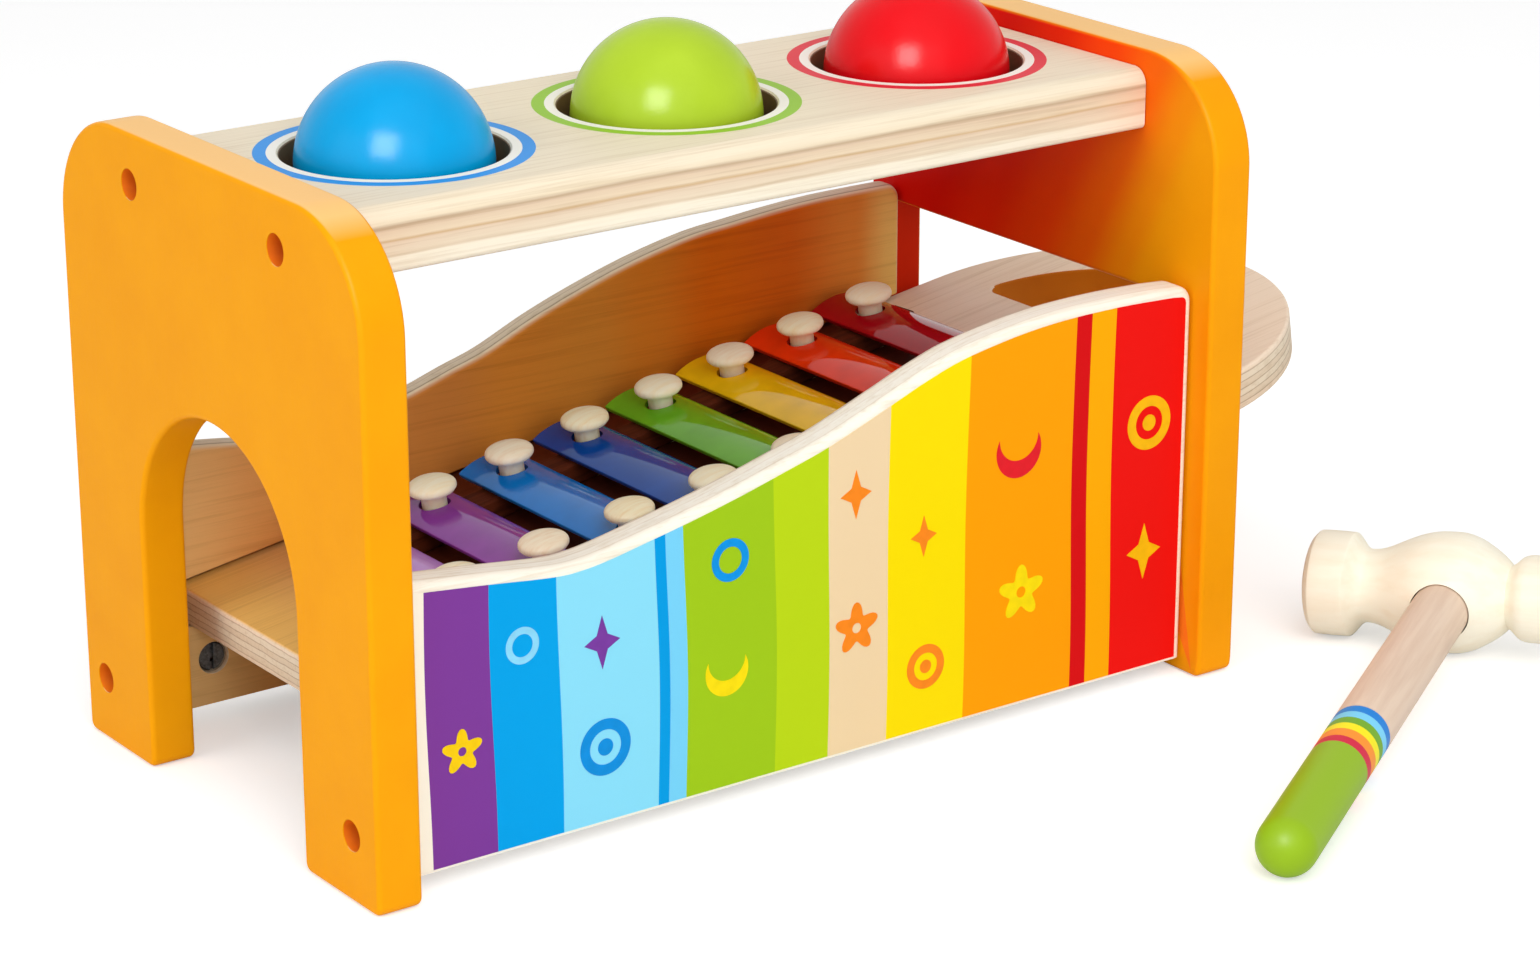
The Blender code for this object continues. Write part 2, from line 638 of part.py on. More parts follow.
tip_round = arc((0.0, handle_reach), handle_radius, 0.5, 0.0, 2 * corner_steps)
handle_profile = tip_round + [(handle_radius, -handle_inset), (0.0, -handle_inset)]
mallet_handle = turned("mallet_handle", handle_profile, handle_steps)
place(mallet_handle, peg_wood, mallet_frame, (0.0, 0.0, 0.0), (0.0, quarter_turn, 0.0))
socket_reach = mallet_bulge_radius + handle_inset + fit_gap
handle_socket = rod("handle_socket", handle_radius + fit_gap, 2 * socket_reach, handle_steps)
cutter(handle_socket, mallet_frame, (socket_reach - handle_inset - fit_gap, 0.0, 0.0), (0.0, quarter_turn, 0.0))
cut(mallet_head, handle_socket)


def reach(objects):
    """Lowest and highest corner of the finished shapes of the objects."""
    bpy.context.view_layer.update()
    graph = bpy.context.evaluated_depsgraph_get()
    points = []
    for obj in objects:
        shape = obj.evaluated_get(graph)
        points += [shape.matrix_world @ vertex.co for vertex in shape.data.vertices]
    low = [min(point[axis] for point in points) for axis in range(3)]
    high = [max(point[axis] for point in points) for axis in range(3)]
    return low, high


# The mallet is set down on the floor, then the whole set is centred over the origin
low, high = reach([mallet_head, mallet_handle])
mallet_frame.location.z -= low[2]
low, high = reach([obj for obj in part_group.objects if obj.type == "MESH"])
bench_frame.location = (-(low[0] + high[0]) / 2, -(low[1] + high[1]) / 2, 0.0)
bpy.context.view_layer.update()
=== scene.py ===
"""Dressed model of a wooden pounding bench with a slide out xylophone, three balls and a mallet."""
import json
import math
from math import cos, radians, sin

import bmesh
import bpy
from mathutils import Euler, Matrix, Vector

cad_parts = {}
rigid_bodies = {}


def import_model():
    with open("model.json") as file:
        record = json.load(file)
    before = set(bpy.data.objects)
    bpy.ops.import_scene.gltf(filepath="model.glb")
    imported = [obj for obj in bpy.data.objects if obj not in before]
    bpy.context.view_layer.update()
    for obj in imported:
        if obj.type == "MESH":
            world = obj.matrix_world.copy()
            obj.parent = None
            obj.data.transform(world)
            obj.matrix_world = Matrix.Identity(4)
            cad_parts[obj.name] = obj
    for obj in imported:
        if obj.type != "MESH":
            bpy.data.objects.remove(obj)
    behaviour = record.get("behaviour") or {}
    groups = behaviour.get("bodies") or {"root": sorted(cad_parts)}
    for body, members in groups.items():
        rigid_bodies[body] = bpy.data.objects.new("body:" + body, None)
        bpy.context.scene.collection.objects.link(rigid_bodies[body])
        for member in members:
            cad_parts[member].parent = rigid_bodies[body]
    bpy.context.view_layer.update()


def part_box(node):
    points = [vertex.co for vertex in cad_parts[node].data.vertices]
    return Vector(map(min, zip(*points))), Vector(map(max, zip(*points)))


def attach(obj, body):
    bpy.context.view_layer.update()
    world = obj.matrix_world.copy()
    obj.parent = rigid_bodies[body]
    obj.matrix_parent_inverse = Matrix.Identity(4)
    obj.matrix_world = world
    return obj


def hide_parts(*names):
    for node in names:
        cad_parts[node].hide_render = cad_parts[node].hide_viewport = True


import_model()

# End panels: two boards of painted plywood that carry the bench, with round shoulders and softened edges.
# Each is drawn from the side, filled and thickened. The left one has a doorway for the balls, the right
# one a window for the xylophone. The panels are drilled for the bolts after their edges are rounded.
panel_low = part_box("left_end_panel")[0]
bench_x = panel_low.x
bench_y = panel_low.y
bench_length = 0.240
bench_depth = 0.130
bench_height = 0.150
centre_y = bench_y + bench_depth / 2
end_thickness = 0.011
shoulder_radius = 0.025
toe_radius = 0.0022
arch_radius = 0.034
arch_height = 0.092
window_half_width = 0.05675
window_bottom = 0.05395
window_top = 0.09236
window_corner = 0.0031
panel_round = 0.0012
bolt_hole_radius = 0.0035
bolt_hole_mouth = 0.0043
bolt_hole_depth = 0.0085
shank_hole_radius = 0.0021
bolt_spread = 0.0317
upper_bolt_height = 0.13825
lower_bolt_height = 0.0154
side_setback = 0.006
front_thickness = 0.009
rear_thickness = 0.0067
tray_depth = 0.06615
upright = (0, 0, 1)
same_point = 0.000002
bolt_places = (
    ("upper_front", centre_y - bolt_spread, upper_bolt_height),
    ("upper_rear", centre_y + bolt_spread, upper_bolt_height),
    ("lower_front", bench_y + side_setback + front_thickness / 2, lower_bolt_height),
    ("lower_rear", bench_y + bench_depth - side_setback - rear_thickness / 2, lower_bolt_height),
)


def arc(centre, radius, start, end, steps):
    """Points along an arc, both ends included, with its angles in degrees."""
    points = []
    for i in range(steps + 1):
        angle = radians(start + (end - start) * i / steps)
        points.append((centre[0] + radius * cos(angle), centre[1] + radius * sin(angle)))
    return points


def corner(across, up, radius, start, steps=8):
    """A rounded corner of an outline, from the point where its straight sides would meet."""
    middle = radians(start + 45)
    centre = (across - math.copysign(radius, cos(middle)), up - math.copysign(radius, sin(middle)))
    return arc(centre, radius, start, start + 90, steps)


def select_all():
    """Selects all of the piece being edited."""
    bpy.ops.mesh.select_all(action="SELECT")


def begin_piece(name):
    """Starts a new piece in edit mode as one lone point."""
    if bpy.context.mode != "OBJECT":
        bpy.ops.object.mode_set(mode="OBJECT")
    bpy.ops.mesh.primitive_plane_add(size=0.01, location=(0, 0, 0))
    piece = bpy.context.object
    piece.name = name
    bpy.ops.object.mode_set(mode="EDIT")
    bpy.ops.mesh.select_mode(type="VERT")
    select_all()
    bpy.ops.mesh.merge(type="CENTER")
    return piece


def draw_line(piece, points, closed=False):
    """Draws a line from point to point by extruding, and leaves it selected."""
    bpy.ops.mesh.select_all(action="DESELECT")
    body = bmesh.from_edit_mesh(piece.data)
    lone = [v for v in body.verts if not v.link_edges]
    first = lone[0] if lone else body.verts.new(points[0])
    first.co = points[0]
    first.select = True
    bmesh.update_edit_mesh(piece.data)
    here = Vector(points[0])
    for point in points[1:]:
        bpy.ops.mesh.extrude_region_move(TRANSFORM_OT_translate={"value": Vector(point) - here})
        here = Vector(point)
    bpy.ops.mesh.select_linked()
    if closed:
        body = bmesh.from_edit_mesh(piece.data)
        ends = [v for v in body.verts if v.select and len(v.link_edges) == 1]
        bpy.ops.mesh.select_all(action="DESELECT")
        for end in ends:
            end.select = True
        body.select_flush_mode()
        bmesh.update_edit_mesh(piece.data)
        bpy.ops.mesh.edge_face_add()
        bpy.ops.mesh.select_linked()


def make_slab(name, outlines, thickness):
    """A new piece from closed outlines, filled between them and thickened along a vector."""
    piece = begin_piece(name)
    for outline in outlines:
        draw_line(piece, outline, True)
    select_all()
    if len(outlines) == 1:
        bpy.ops.mesh.edge_face_add()
    else:
        bpy.ops.mesh.fill()
        select_all()
        bpy.ops.mesh.dissolve_limited(angle_limit=radians(0.05))
        select_all()
    bpy.ops.mesh.extrude_region_move(TRANSFORM_OT_translate={"value": thickness})
    select_all()
    bpy.ops.mesh.normals_make_consistent(inside=False)
    return piece


def choose(piece, mode, test):
    """Selects the points, edges or faces that pass a test, and nothing else."""
    bpy.ops.mesh.select_mode(type=mode)
    bpy.ops.mesh.select_all(action="DESELECT")
    body = bmesh.from_edit_mesh(piece.data)
    body.normal_update()
    for part in {"VERT": body.verts, "EDGE": body.edges, "FACE": body.faces}[mode]:
        if test(part):
            part.select = True
    body.select_flush_mode()
    bmesh.update_edit_mesh(piece.data)


def round_edges(piece, test, offset, segments):
    """Rounds the edges that pass a test."""
    choose(piece, "EDGE", test)
    bpy.ops.mesh.bevel(offset=offset, segments=segments, profile=0.5)


def sharp_edge(edge):
    """True where two faces meet at more than 35 degrees."""
    return len(edge.link_faces) == 2 and edge.calc_face_angle(0) > radians(35)


def activate(piece):
    """Makes a piece the only one that the next operator works on."""
    bpy.ops.object.select_all(action="DESELECT")
    piece.select_set(True)
    bpy.context.view_layer.objects.active = piece


def end_piece(piece, smooth_angle, *materials):
    """Leaves edit mode with normals outward, shading smooth up to an angle and the materials given."""
    if bpy.context.mode != "OBJECT":
        select_all()
        bpy.ops.mesh.remove_doubles(threshold=same_point)
        bpy.ops.mesh.normals_make_consistent(inside=False)
        bpy.ops.object.mode_set(mode="OBJECT")
    activate(piece)
    bpy.ops.object.shade_smooth_by_angle(angle=radians(smooth_angle))
    for material in materials:
        piece.data.materials.append(material)


def apply_modifier(piece, kind, **settings):
    """Adds a modifier to a piece, sets it and applies it."""
    activate(piece)
    bpy.ops.object.modifier_add(type=kind)
    step = piece.modifiers[-1]
    for key, value in settings.items():
        setattr(step, key, value)
    bpy.ops.object.modifier_apply(modifier=step.name)


def even_shading(piece):
    """Lets large flat faces keep a flat look beside rounded edges."""
    apply_modifier(piece, "WEIGHTED_NORMAL", keep_sharp=True)


def cut_away(piece, tool):
    """Cuts a tool's shape out of a piece and throws the tool away."""
    apply_modifier(piece, "BOOLEAN", operation="DIFFERENCE", solver="EXACT", object=tool)
    bpy.data.objects.remove(tool)


def stand(spot, axis):
    """The move that takes a piece turned about the upright axis to a spot and another axis."""
    turn = Vector(upright).rotation_difference(Vector(axis).normalized())
    return Matrix.Translation(spot) @ turn.to_matrix().to_4x4()


def lathe(name, profile, centre, axis, steps):
    """Turns a profile of radius and height round an axis that starts at centre."""
    piece = begin_piece(name)
    draw_line(piece, [(radius, 0.0, height) for radius, height in profile])
    bpy.ops.mesh.spin(steps=steps, angle=radians(360), center=(0, 0, 0), axis=upright)
    select_all()
    bpy.ops.mesh.remove_doubles(threshold=same_point)
    bpy.ops.mesh.normals_make_consistent(inside=False)
    bpy.ops.object.mode_set(mode="OBJECT")
    piece.data.transform(stand(centre, axis))
    return piece


def drill(piece, profile, centre, axis, steps):
    """Cuts a turned shape out of a piece."""
    cut_away(piece, lathe("drill", profile, centre, axis, steps))


def pin(radius, top, bottom):
    """The profile of a plain round pin."""
    return ((0, top), (radius, top), (radius, bottom), (0, bottom))


def wire(source, entry):
    """Feeds an output or a plain value into an input."""
    if isinstance(source, bpy.types.NodeSocket):
        entry.id_data.links.new(source, entry)
    else:
        entry.default_value = source


def new_material(name, roughness, sheen=0.5):
    """A material, its shader and the place of a point on the object."""
    material = bpy.data.materials.new(name)
    material.use_nodes = True
    shader = material.node_tree.nodes["Principled BSDF"]
    wire(roughness, shader.inputs["Roughness"])
    wire(sheen, shader.inputs["Specular IOR Level"])
    return material, shader, material.node_tree.nodes.new("ShaderNodeTexCoord").outputs["Object"]


def set_colour(shader, colour):
    """Gives a shader its colour."""
    wire(colour, shader.inputs["Base Color"])


def add_node(near, kind, *sources, **values):
    """A node beside another one's output, its settings given by name and its first inputs fed in order."""
    node = near.id_data.nodes.new("ShaderNode" + kind)
    for key, value in values.items():
        if hasattr(node, key):
            setattr(node, key, value)
        else:
            wire(value, node.inputs[key.replace("_", " ")])
    for entry, source in zip(node.inputs, sources):
        wire(source, entry)
    return node


def noise(place, scale, detail, roughness=0.5):
    """Cloudy noise from 0 to 1."""
    return add_node(place, "TexNoise", place, Scale=scale, Detail=detail, Roughness=roughness).outputs["Fac"]


def calculate(operation, first, *others):
    """The result of a sum on an output and further outputs or plain numbers."""
    return add_node(first, "Math", first, *others, operation=operation).outputs[0]


def reach_along(vector, direction):
    """How far a vector reaches in a direction."""
    return add_node(vector, "VectorMath", vector, direction, operation="DOT_PRODUCT").outputs["Value"]


def colour_ramp(share, stops, interpolation="LINEAR"):
    """The colour of a ramp at a share from 0 to 1."""
    ramp = add_node(share, "ValToRGB", share)
    ramp.color_ramp.interpolation = interpolation
    elements = ramp.color_ramp.elements
    elements.remove(elements[1])
    elements[0].position = stops[0][0]
    elements[0].color = (*stops[0][1], 1.0)
    for position, colour in stops[1:]:
        elements.new(position).color = (*colour, 1.0)
    return ramp.outputs["Color"]


def mix_colour(share, under, over, blend="MIX"):
    """Lays one colour over another by a share."""
    mixed = add_node(under, "Mix", share, data_type="RGBA", blend_type=blend)
    wire(under, mixed.inputs[6])
    wire(over, mixed.inputs[7])
    return mixed.outputs[2]


def add_bump(shader, height, strength, distance):
    """Raises the surface with a height."""
    bump = add_node(height, "Bump", Strength=strength, Distance=distance, Height=height)
    wire(bump.outputs["Normal"], shader.inputs["Normal"])


def stretch(place, scale, **moves):
    """A place with its directions stretched, or seen from a moved and turned frame."""
    kind = "TEXTURE" if moves else "POINT"
    return add_node(place, "Mapping", place, vector_type=kind, Scale=scale, **moves).outputs["Vector"]


def satin_paint(name, colour, deeper, roughness, sheen):
    """Sprayed paint over sanded wood: a faint mottle, a fine orange peel and the wood's pores below."""
    material, shader, place = new_material(name, roughness, sheen)
    tint = colour_ramp(noise(place, 55.0, 3.0), ((0.30, deeper), (0.70, colour)))
    set_colour(shader, tint)
    pores = noise(stretch(place, (600.0, 600.0, 40.0)), 1.0, 2.0)
    add_bump(shader, calculate("ADD", noise(place, 900.0, 2.0), pores), 0.10, 0.00025)
    return material, shader, place, tint


def tint_face(place, colour, facing, reach, stops, blend="MULTIPLY", onset=0.35):
    """Mixes the colour of faces that look one way with a tint that changes along a direction."""
    normal = add_node(place, "NewGeometry").outputs["Normal"]
    on_face = add_node(place, "MapRange", reach_along(normal, facing), onset, 0.94).outputs["Result"]
    share = add_node(place, "MapRange", reach_along(place, reach[0]), *reach[1:]).outputs["Result"]
    return mix_colour(on_face, colour, colour_ramp(share, stops, "EASE"), blend)


# Faces that look upward are mixed to a pale peach: a painted sheen along the panels' top edges.
painted_top_sheen = ((0.0, (0.97, 0.57, 0.20)), (1.0, (0.97, 0.57, 0.20)))
whole_bench = ((1, 0, 0), bench_x, bench_x + bench_length)
orange_paint, shader, place, tint = satin_paint(
    "orange_paint", (0.92, 0.37, 0.002), (0.89, 0.345, 0.002), 0.36, 0.05,
)
set_colour(shader, tint_face(place, tint, upright, whole_bench, painted_top_sheen, "MIX", 0.80))
# Inside the bolt holes the orange paint turns redder: painted shade in the recess.
bore_paint_and_painted_shade = satin_paint("bore_paint_and_painted_shade", (0.98, 0.24, 0.010), (0.92, 0.19, 0.010), 0.5, 0.1)[0]
# The window's edge faces are coloured dark red: painted shade inside the window.
window_jamb_painted_shade = satin_paint("window_edge_painted_shade", (0.74, 0.030, 0.003), (0.68, 0.022, 0.003), 0.45, 0.05)[0]
# The right panel's inner face darkens from orange to dark red towards its rear and top: painted shade under the
# plate.
right_paint_with_painted_shade, shader, place, tint = satin_paint(
    "orange_paint_inside_painted_shade", (0.93, 0.36, 0.002), (0.90, 0.335, 0.002), 0.36, 0.05,
)
painted_shade_way = ((0, 0.90, 0.45), 0.90 * (bench_y + 0.022) + 0.45 * 0.10, 0.90 * (bench_y + 0.090) + 0.45 * 0.125)
painted_shade_tint = tint_face(place, tint, (-1, 0, 0), painted_shade_way, (
    (0.0, (1.0, 0.97, 1.0)), (0.10, (1.0, 0.78, 1.0)), (0.28, (1.0, 0.38, 1.0)), (0.50, (1.0, 0.17, 1.0)),
    (0.75, (0.92, 0.06, 0.8)), (1.0, (0.74, 0.012, 0.5)),
))
set_colour(shader, tint_face(place, painted_shade_tint, upright, whole_bench, painted_top_sheen, "MIX", 0.80))

panel_outline = (
    corner(bench_depth, 0, toe_radius, -90, 6) + corner(bench_depth, bench_height, shoulder_radius, 0, 28)
    + corner(0, bench_height, shoulder_radius, 90, 28) + corner(0, 0, toe_radius, 180, 6)
)
half_depth = bench_depth / 2
doorway = (
    corner(half_depth - arch_radius, 0, toe_radius, -90, 6)
    + arc((half_depth, arch_height - arch_radius), arch_radius, 180, 0, 56)
    + corner(half_depth + arch_radius, 0, toe_radius, 180, 6)
)
window_front = tray_depth - window_half_width
window_rear = tray_depth + window_half_width
window = (
    corner(window_front, window_bottom, window_corner, 180)
    + corner(window_rear, window_bottom, window_corner, -90)
    + corner(window_rear, window_top, window_corner, 0) + corner(window_front, window_top, window_corner, 90)
)
for side, outlines, outer_x, outward in (
    ("left", [panel_outline + doorway], bench_x, -1),
    ("right", [panel_outline, window], bench_x + bench_length, 1),
):
    stood_up = [[(outer_x, bench_y + depth, height) for depth, height in outline] for outline in outlines]
    end_panel = make_slab(side + "_end_board", stood_up, (-outward * end_thickness, 0, 0))
    round_edges(end_panel, sharp_edge, panel_round, 4)
    end_piece(end_panel, 40)
    for _, bolt_y, bolt_z in bolt_places:
        drill(end_panel, (
            (0, 0.002), (bolt_hole_mouth, 0.002), (bolt_hole_radius, -0.0002),
            (bolt_hole_radius, -bolt_hole_depth), (shank_hole_radius, -bolt_hole_depth),
            (shank_hole_radius, -0.02), (0, -0.02),
        ), (outer_x, bolt_y, bolt_z), (outward, 0, 0), 40)
    end_piece(end_panel, 40, orange_paint if side == "left" else right_paint_with_painted_shade, bore_paint_and_painted_shade, window_jamb_painted_shade)
    even_shading(end_panel)
    for face in end_panel.data.polygons:
        spot = face.center
        beside = abs(spot.y - bench_y - tray_depth) < window_half_width + 0.0001
        within = window_bottom - 0.0001 < spot.z < window_top + 0.0001
        # The window's edge faces take the dark red painted shade.
        if side == "right" and beside and within and abs(face.normal.x) < 0.5:
            face.material_index = 2
        # The bolt holes' walls take the redder painted shade.
        for _, bolt_y, bolt_z in bolt_places:
            in_hole = math.hypot(spot.y - bolt_y, spot.z - bolt_z) < bolt_hole_radius + 0.0001
            if in_hole and abs(spot.x - outer_x) > 0.0003:
                face.material_index = 1
    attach(end_panel, "bench")
    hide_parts(side + "_end_panel")

# Top plate: a thick plywood board between the end panels, with rounded long edges and three ball holes.
# Each hole is bored with an inside groove for a rubber ring. Two thin painted circles run round each hole,
# and the plies show as wavy lines along the front edge.
plate_depth = 0.080
plate_thickness = 0.0145
plate_top = 0.1455
plate_bottom = plate_top - plate_thickness
plate_upper_round = 0.004
plate_lower_round = 0.0015
joint_gap = 0.0003
inner_start = bench_x + end_thickness + joint_gap
inner_length = bench_length - 2 * (end_thickness + joint_gap)
ball_radius = 0.022
ball_z = plate_top - 0.003
ball_hole_radius = 0.025
ball_names = ("left", "middle", "right")
ball_pitch = 0.0719
ball_places = [bench_x + bench_length / 2 + (i - 1) * ball_pitch for i in range(3)]
ring_z = ball_z - 0.007
ring_section = 0.0025
ring_radius = 0.02379
nut_inset = 0.0263
nut_rows = (bench_x + nut_inset, bench_x + bench_length - nut_inset)
nut_hole_radius = 0.0038
ring_paints = ((0.03, 0.30, 0.78), (0.30, 0.55, 0.03), (0.74, 0.02, 0.04))


def plywood(name, across, level, thickness, plies, tilt, grain_scale, roughness, sheen=0.2):
    """Plies stacked across the board and fine grain along it, both in the object's own coordinates."""
    material, shader, place = new_material(name, roughness, sheen)
    height = reach_along(place, across)
    share = calculate("MULTIPLY_ADD", height, 1 / thickness, -level / thickness)
    broad, fine = [
        stretch(place, scale, Rotation=(0, -tilt, 0))
        for scale in ((1 / 18, 1 / 160, 1 / 160), (50 / grain_scale, 1 / grain_scale, 1 / grain_scale))
    ]
    wavy = calculate("MULTIPLY_ADD", noise(broad, 1.0, 4.0, 0.6), 0.09, share)
    layer = colour_ramp(calculate("SUBTRACT", wavy, 0.045), plies)
    fibres = noise(fine, 1.0, 5.0, 0.65)
    grain = colour_ramp(fibres, (
        (0.30, (0.80, 0.74, 0.66)), (0.52, (1.0, 1.0, 1.0)), (0.75, (0.93, 0.90, 0.86)),
    ))
    wood = mix_colour(0.75, layer, grain, "MULTIPLY")
    set_colour(shader, wood)
    add_bump(shader, fibres, 0.25, 0.0002)
    return material, shader, place, wood


thick_plies = (
    (0.00, (0.92, 0.85, 0.70)), (0.24, (0.92, 0.84, 0.68)), (0.28, (0.76, 0.62, 0.45)),
    (0.33, (0.82, 0.69, 0.52)), (0.46, (0.79, 0.63, 0.47)), (0.50, (0.66, 0.46, 0.26)),
    (0.54, (0.82, 0.67, 0.48)), (0.66, (0.77, 0.60, 0.43)), (0.71, (0.56, 0.41, 0.27)),
    (0.76, (0.83, 0.71, 0.52)), (0.84, (0.87, 0.76, 0.58)), (1.00, (0.87, 0.76, 0.58)),
)
plate_wood, shader, place, surface = plywood(
    "plate_plywood", upright, plate_bottom, plate_thickness, thick_plies, 0.0, 900.0, 0.5,
)
normal = add_node(place, "NewGeometry").outputs["Normal"]
facing_up = calculate("GREATER_THAN", reach_along(normal, upright), 0.9)
seen_from_above = add_node(place, "VectorMath", place, (1, 1, 0), operation="MULTIPLY").outputs["Vector"]
for ball_x, ring_paint in zip(ball_places, ring_paints):
    away = add_node(place, "VectorMath", seen_from_above, (ball_x, centre_y, 0), operation="DISTANCE")
    share = calculate("MULTIPLY", away.outputs["Value"], 20.0)
    for edges, coat, where in (
        (((0.0, (0, 0, 0)), (0.5, (1, 1, 1)), (0.552, (0, 0, 0))), (0.93, 0.89, 0.80), facing_up),
        (((0.0, (0, 0, 0)), (0.552, (1, 1, 1)), (0.610, (0, 0, 0))), ring_paint, facing_up),
        # The bore's own wall is coloured dark brown: painted shade inside each hole.
        (((0.0, (1, 1, 1)), (0.5015, (0, 0, 0))), (0.20, 0.11, 0.05), 1.0),
    ):
        circle = calculate("MULTIPLY", colour_ramp(share, edges, "CONSTANT"), where)
        surface = mix_colour(circle, surface, (*coat, 1.0))
set_colour(shader, surface)

plate_front = centre_y - plate_depth / 2
plate_rear = centre_y + plate_depth / 2
inner_end = inner_start + inner_length
plate = make_slab("ball_plate", [[
    (inner_start, plate_front, plate_top), (inner_end, plate_front, plate_top),
    (inner_end, plate_rear, plate_top), (inner_start, plate_rear, plate_top),
]], (0, 0, -plate_thickness))
for level, offset, segments in ((plate_top, plate_upper_round, 8), (plate_bottom, plate_lower_round, 5)):
    round_edges(plate, lambda e: abs(e.verts[0].co.x - e.verts[1].co.x) > 0.1
                and abs(e.verts[0].co.z - level) < 0.001, offset, segments)
end_piece(plate, 40)
seat_radius = ring_section + joint_gap
seat_angle = math.degrees(math.acos((ball_hole_radius - ring_radius) / seat_radius))
bore = (
    [(0.0, 0.012), (ball_hole_radius + 0.0025, 0.012), (ball_hole_radius, 0.0094)]
    + arc((ring_radius, 0.0), seat_radius, seat_angle, -seat_angle, 12)
    + [(ball_hole_radius, -0.0042), (ball_hole_radius + 0.0012, -0.0054), (0.0, -0.0054)]
)
for ball_x in ball_places:
    drill(plate, bore, (ball_x, centre_y, ring_z), upright, 96)
for nut_x in nut_rows:
    for nut_y in (centre_y - bolt_spread, centre_y + bolt_spread):
        drill(plate, pin(nut_hole_radius, 0.002, -0.0098), (nut_x, nut_y, plate_bottom), (0, 0, -1), 32)
end_piece(plate, 40, plate_wood)
even_shading(plate)
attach(plate, "bench")
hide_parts("top_plate")

# Rubber rings: a soft black ring sits in each hole's groove and holds a ball until the mallet drives it
# through. Each is a round section turned about the hole's axis and left rigid; the real ring squeezes
# outward as the ball passes.
rubber_tones = ((0.35, (0.012, 0.011, 0.010)), (0.75, (0.05, 0.045, 0.04)))


def mottled(name, roughness, sheen, scale, detail, stops, strength):
    """A plain material whose colour and surface vary together with one fine noise."""
    material, shader, place = new_material(name, roughness, sheen)
    mottle = noise(place, scale, detail)
    set_colour(shader, colour_ramp(mottle, stops))
    add_bump(shader, mottle, *strength)
    return material


rubber = mottled("black_rubber", 0.75, 0.5, 700.0, 3.0, rubber_tones, (0.2, 0.0002))
for ball_name, ball_x in zip(ball_names, ball_places):
    section = arc((ring_radius, 0.0), ring_section, 0, 360, 20)
    ring = lathe(ball_name + "_rubber_ring", section, (ball_x, centre_y, ring_z), upright, 72)
    end_piece(ring, 60, rubber)
    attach(ring, "bench")
    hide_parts(ball_name + "_ball_ring")

# Side panels: plywood boards with a swept top edge, screwed between the end panels. A groove inside each
# carries the xylophone board. They are drawn from the front, filled, thickened, rounded and grooved.
# The front one is printed with a rainbow of stripes on its outer face.
side_foot = 0.004
side_rise = 0.094
ramp_angle = math.atan(0.156)
ramp_height = 0.0317
board_thickness = 0.01035
board_start = 0.01913
groove_headroom = 0.0015
groove_depth = 0.0034
tray_y = bench_y + tray_depth
tray = Matrix.Translation((bench_x, tray_y, ramp_height)) @ Matrix.Rotation(-ramp_angle, 4, "Y")
front_sweep = (
    (0.000, 0.708), (0.028, 0.702), (0.098, 0.684), (0.174, 0.663), (0.208, 0.663), (0.239, 0.672),
    (0.284, 0.692), (0.336, 0.716), (0.398, 0.749), (0.454, 0.783), (0.511, 0.820), (0.588, 0.885),
    (0.638, 0.928), (0.693, 0.964), (0.788, 0.996), (0.890, 1.003), (1.000, 0.993),
)
rear_sweep = (
    (0.000, 0.699), (0.095, 0.670), (0.155, 0.649), (0.206, 0.645), (0.252, 0.659), (0.321, 0.695),
    (0.377, 0.735), (0.425, 0.768), (0.489, 0.830), (0.553, 0.881), (0.624, 0.928), (0.700, 0.964),
    (0.760, 0.978), (0.820, 0.990), (0.890, 0.998), (1.000, 0.998),
)


def smooth_line(points, steps):
    """A smooth line through some points, with the steps between each two."""
    line = []
    last = len(points) - 1
    for i in range(last):
        before, start, end, after = [Vector(points[k]) for k in (max(i - 1, 0), i, i + 1, min(i + 2, last))]
        for k in range(steps):
            t = k / steps
            line.append(
                start + (end - before) * t / 2 + (before * 2 - start * 5 + end * 4 - after) * t * t / 2
                + (start * 3 - before - end * 3 + after) * t * t * t / 2
            )
    return line


def swept_line(shares):
    """The top edge of a side panel, from shares of its length and rise."""
    line = smooth_line(shares, 6) + [Vector(shares[-1])]
    return [(point.x * inner_length, side_foot + point.y * side_rise) for point in line]


def swept_outline(sweep, margin, foot, left_corner, right_corner):
    """The outline of a side panel, or of a print on it that keeps a margin to its edges."""
    left_top = sweep[0][1] - margin
    right_top = sweep[-1][1] - margin
    end = inner_length - margin
    between = [
        (run, rise - margin) for run, rise in reversed(sweep)
        if margin + 2 * left_corner < run < end - 2 * right_corner
    ]
    return (
        [(margin, foot), (end, foot)]
        + corner(end, right_top, right_corner, 0)
        + between
        + corner(margin, left_top, left_corner, 90)
    )


front_plies = (
    (0.00, (0.95, 0.90, 0.78)), (0.18, (0.97, 0.93, 0.82)), (0.21, (0.86, 0.78, 0.66)),
    (0.25, (0.97, 0.93, 0.83)), (0.48, (0.98, 0.95, 0.86)), (0.52, (0.88, 0.81, 0.70)),
    (0.56, (0.97, 0.93, 0.83)), (0.78, (0.93, 0.86, 0.74)), (0.81, (0.66, 0.54, 0.44)),
    (0.85, (0.88, 0.78, 0.64)), (1.00, (0.84, 0.72, 0.56)),
)
rear_plies = (
    (0.00, (0.92, 0.78, 0.58)), (0.16, (0.90, 0.76, 0.56)), (0.19, (0.42, 0.32, 0.22)),
    (0.23, (0.78, 0.66, 0.50)), (0.46, (0.84, 0.72, 0.55)), (0.50, (0.60, 0.47, 0.33)),
    (0.54, (0.84, 0.72, 0.55)), (0.78, (0.80, 0.68, 0.52)), (0.82, (0.36, 0.28, 0.20)),
    (0.86, (0.80, 0.70, 0.54)), (1.00, (0.84, 0.74, 0.58)),
)
print_face = bench_y + side_setback
rear_face = bench_y + bench_depth - side_setback - rear_thickness
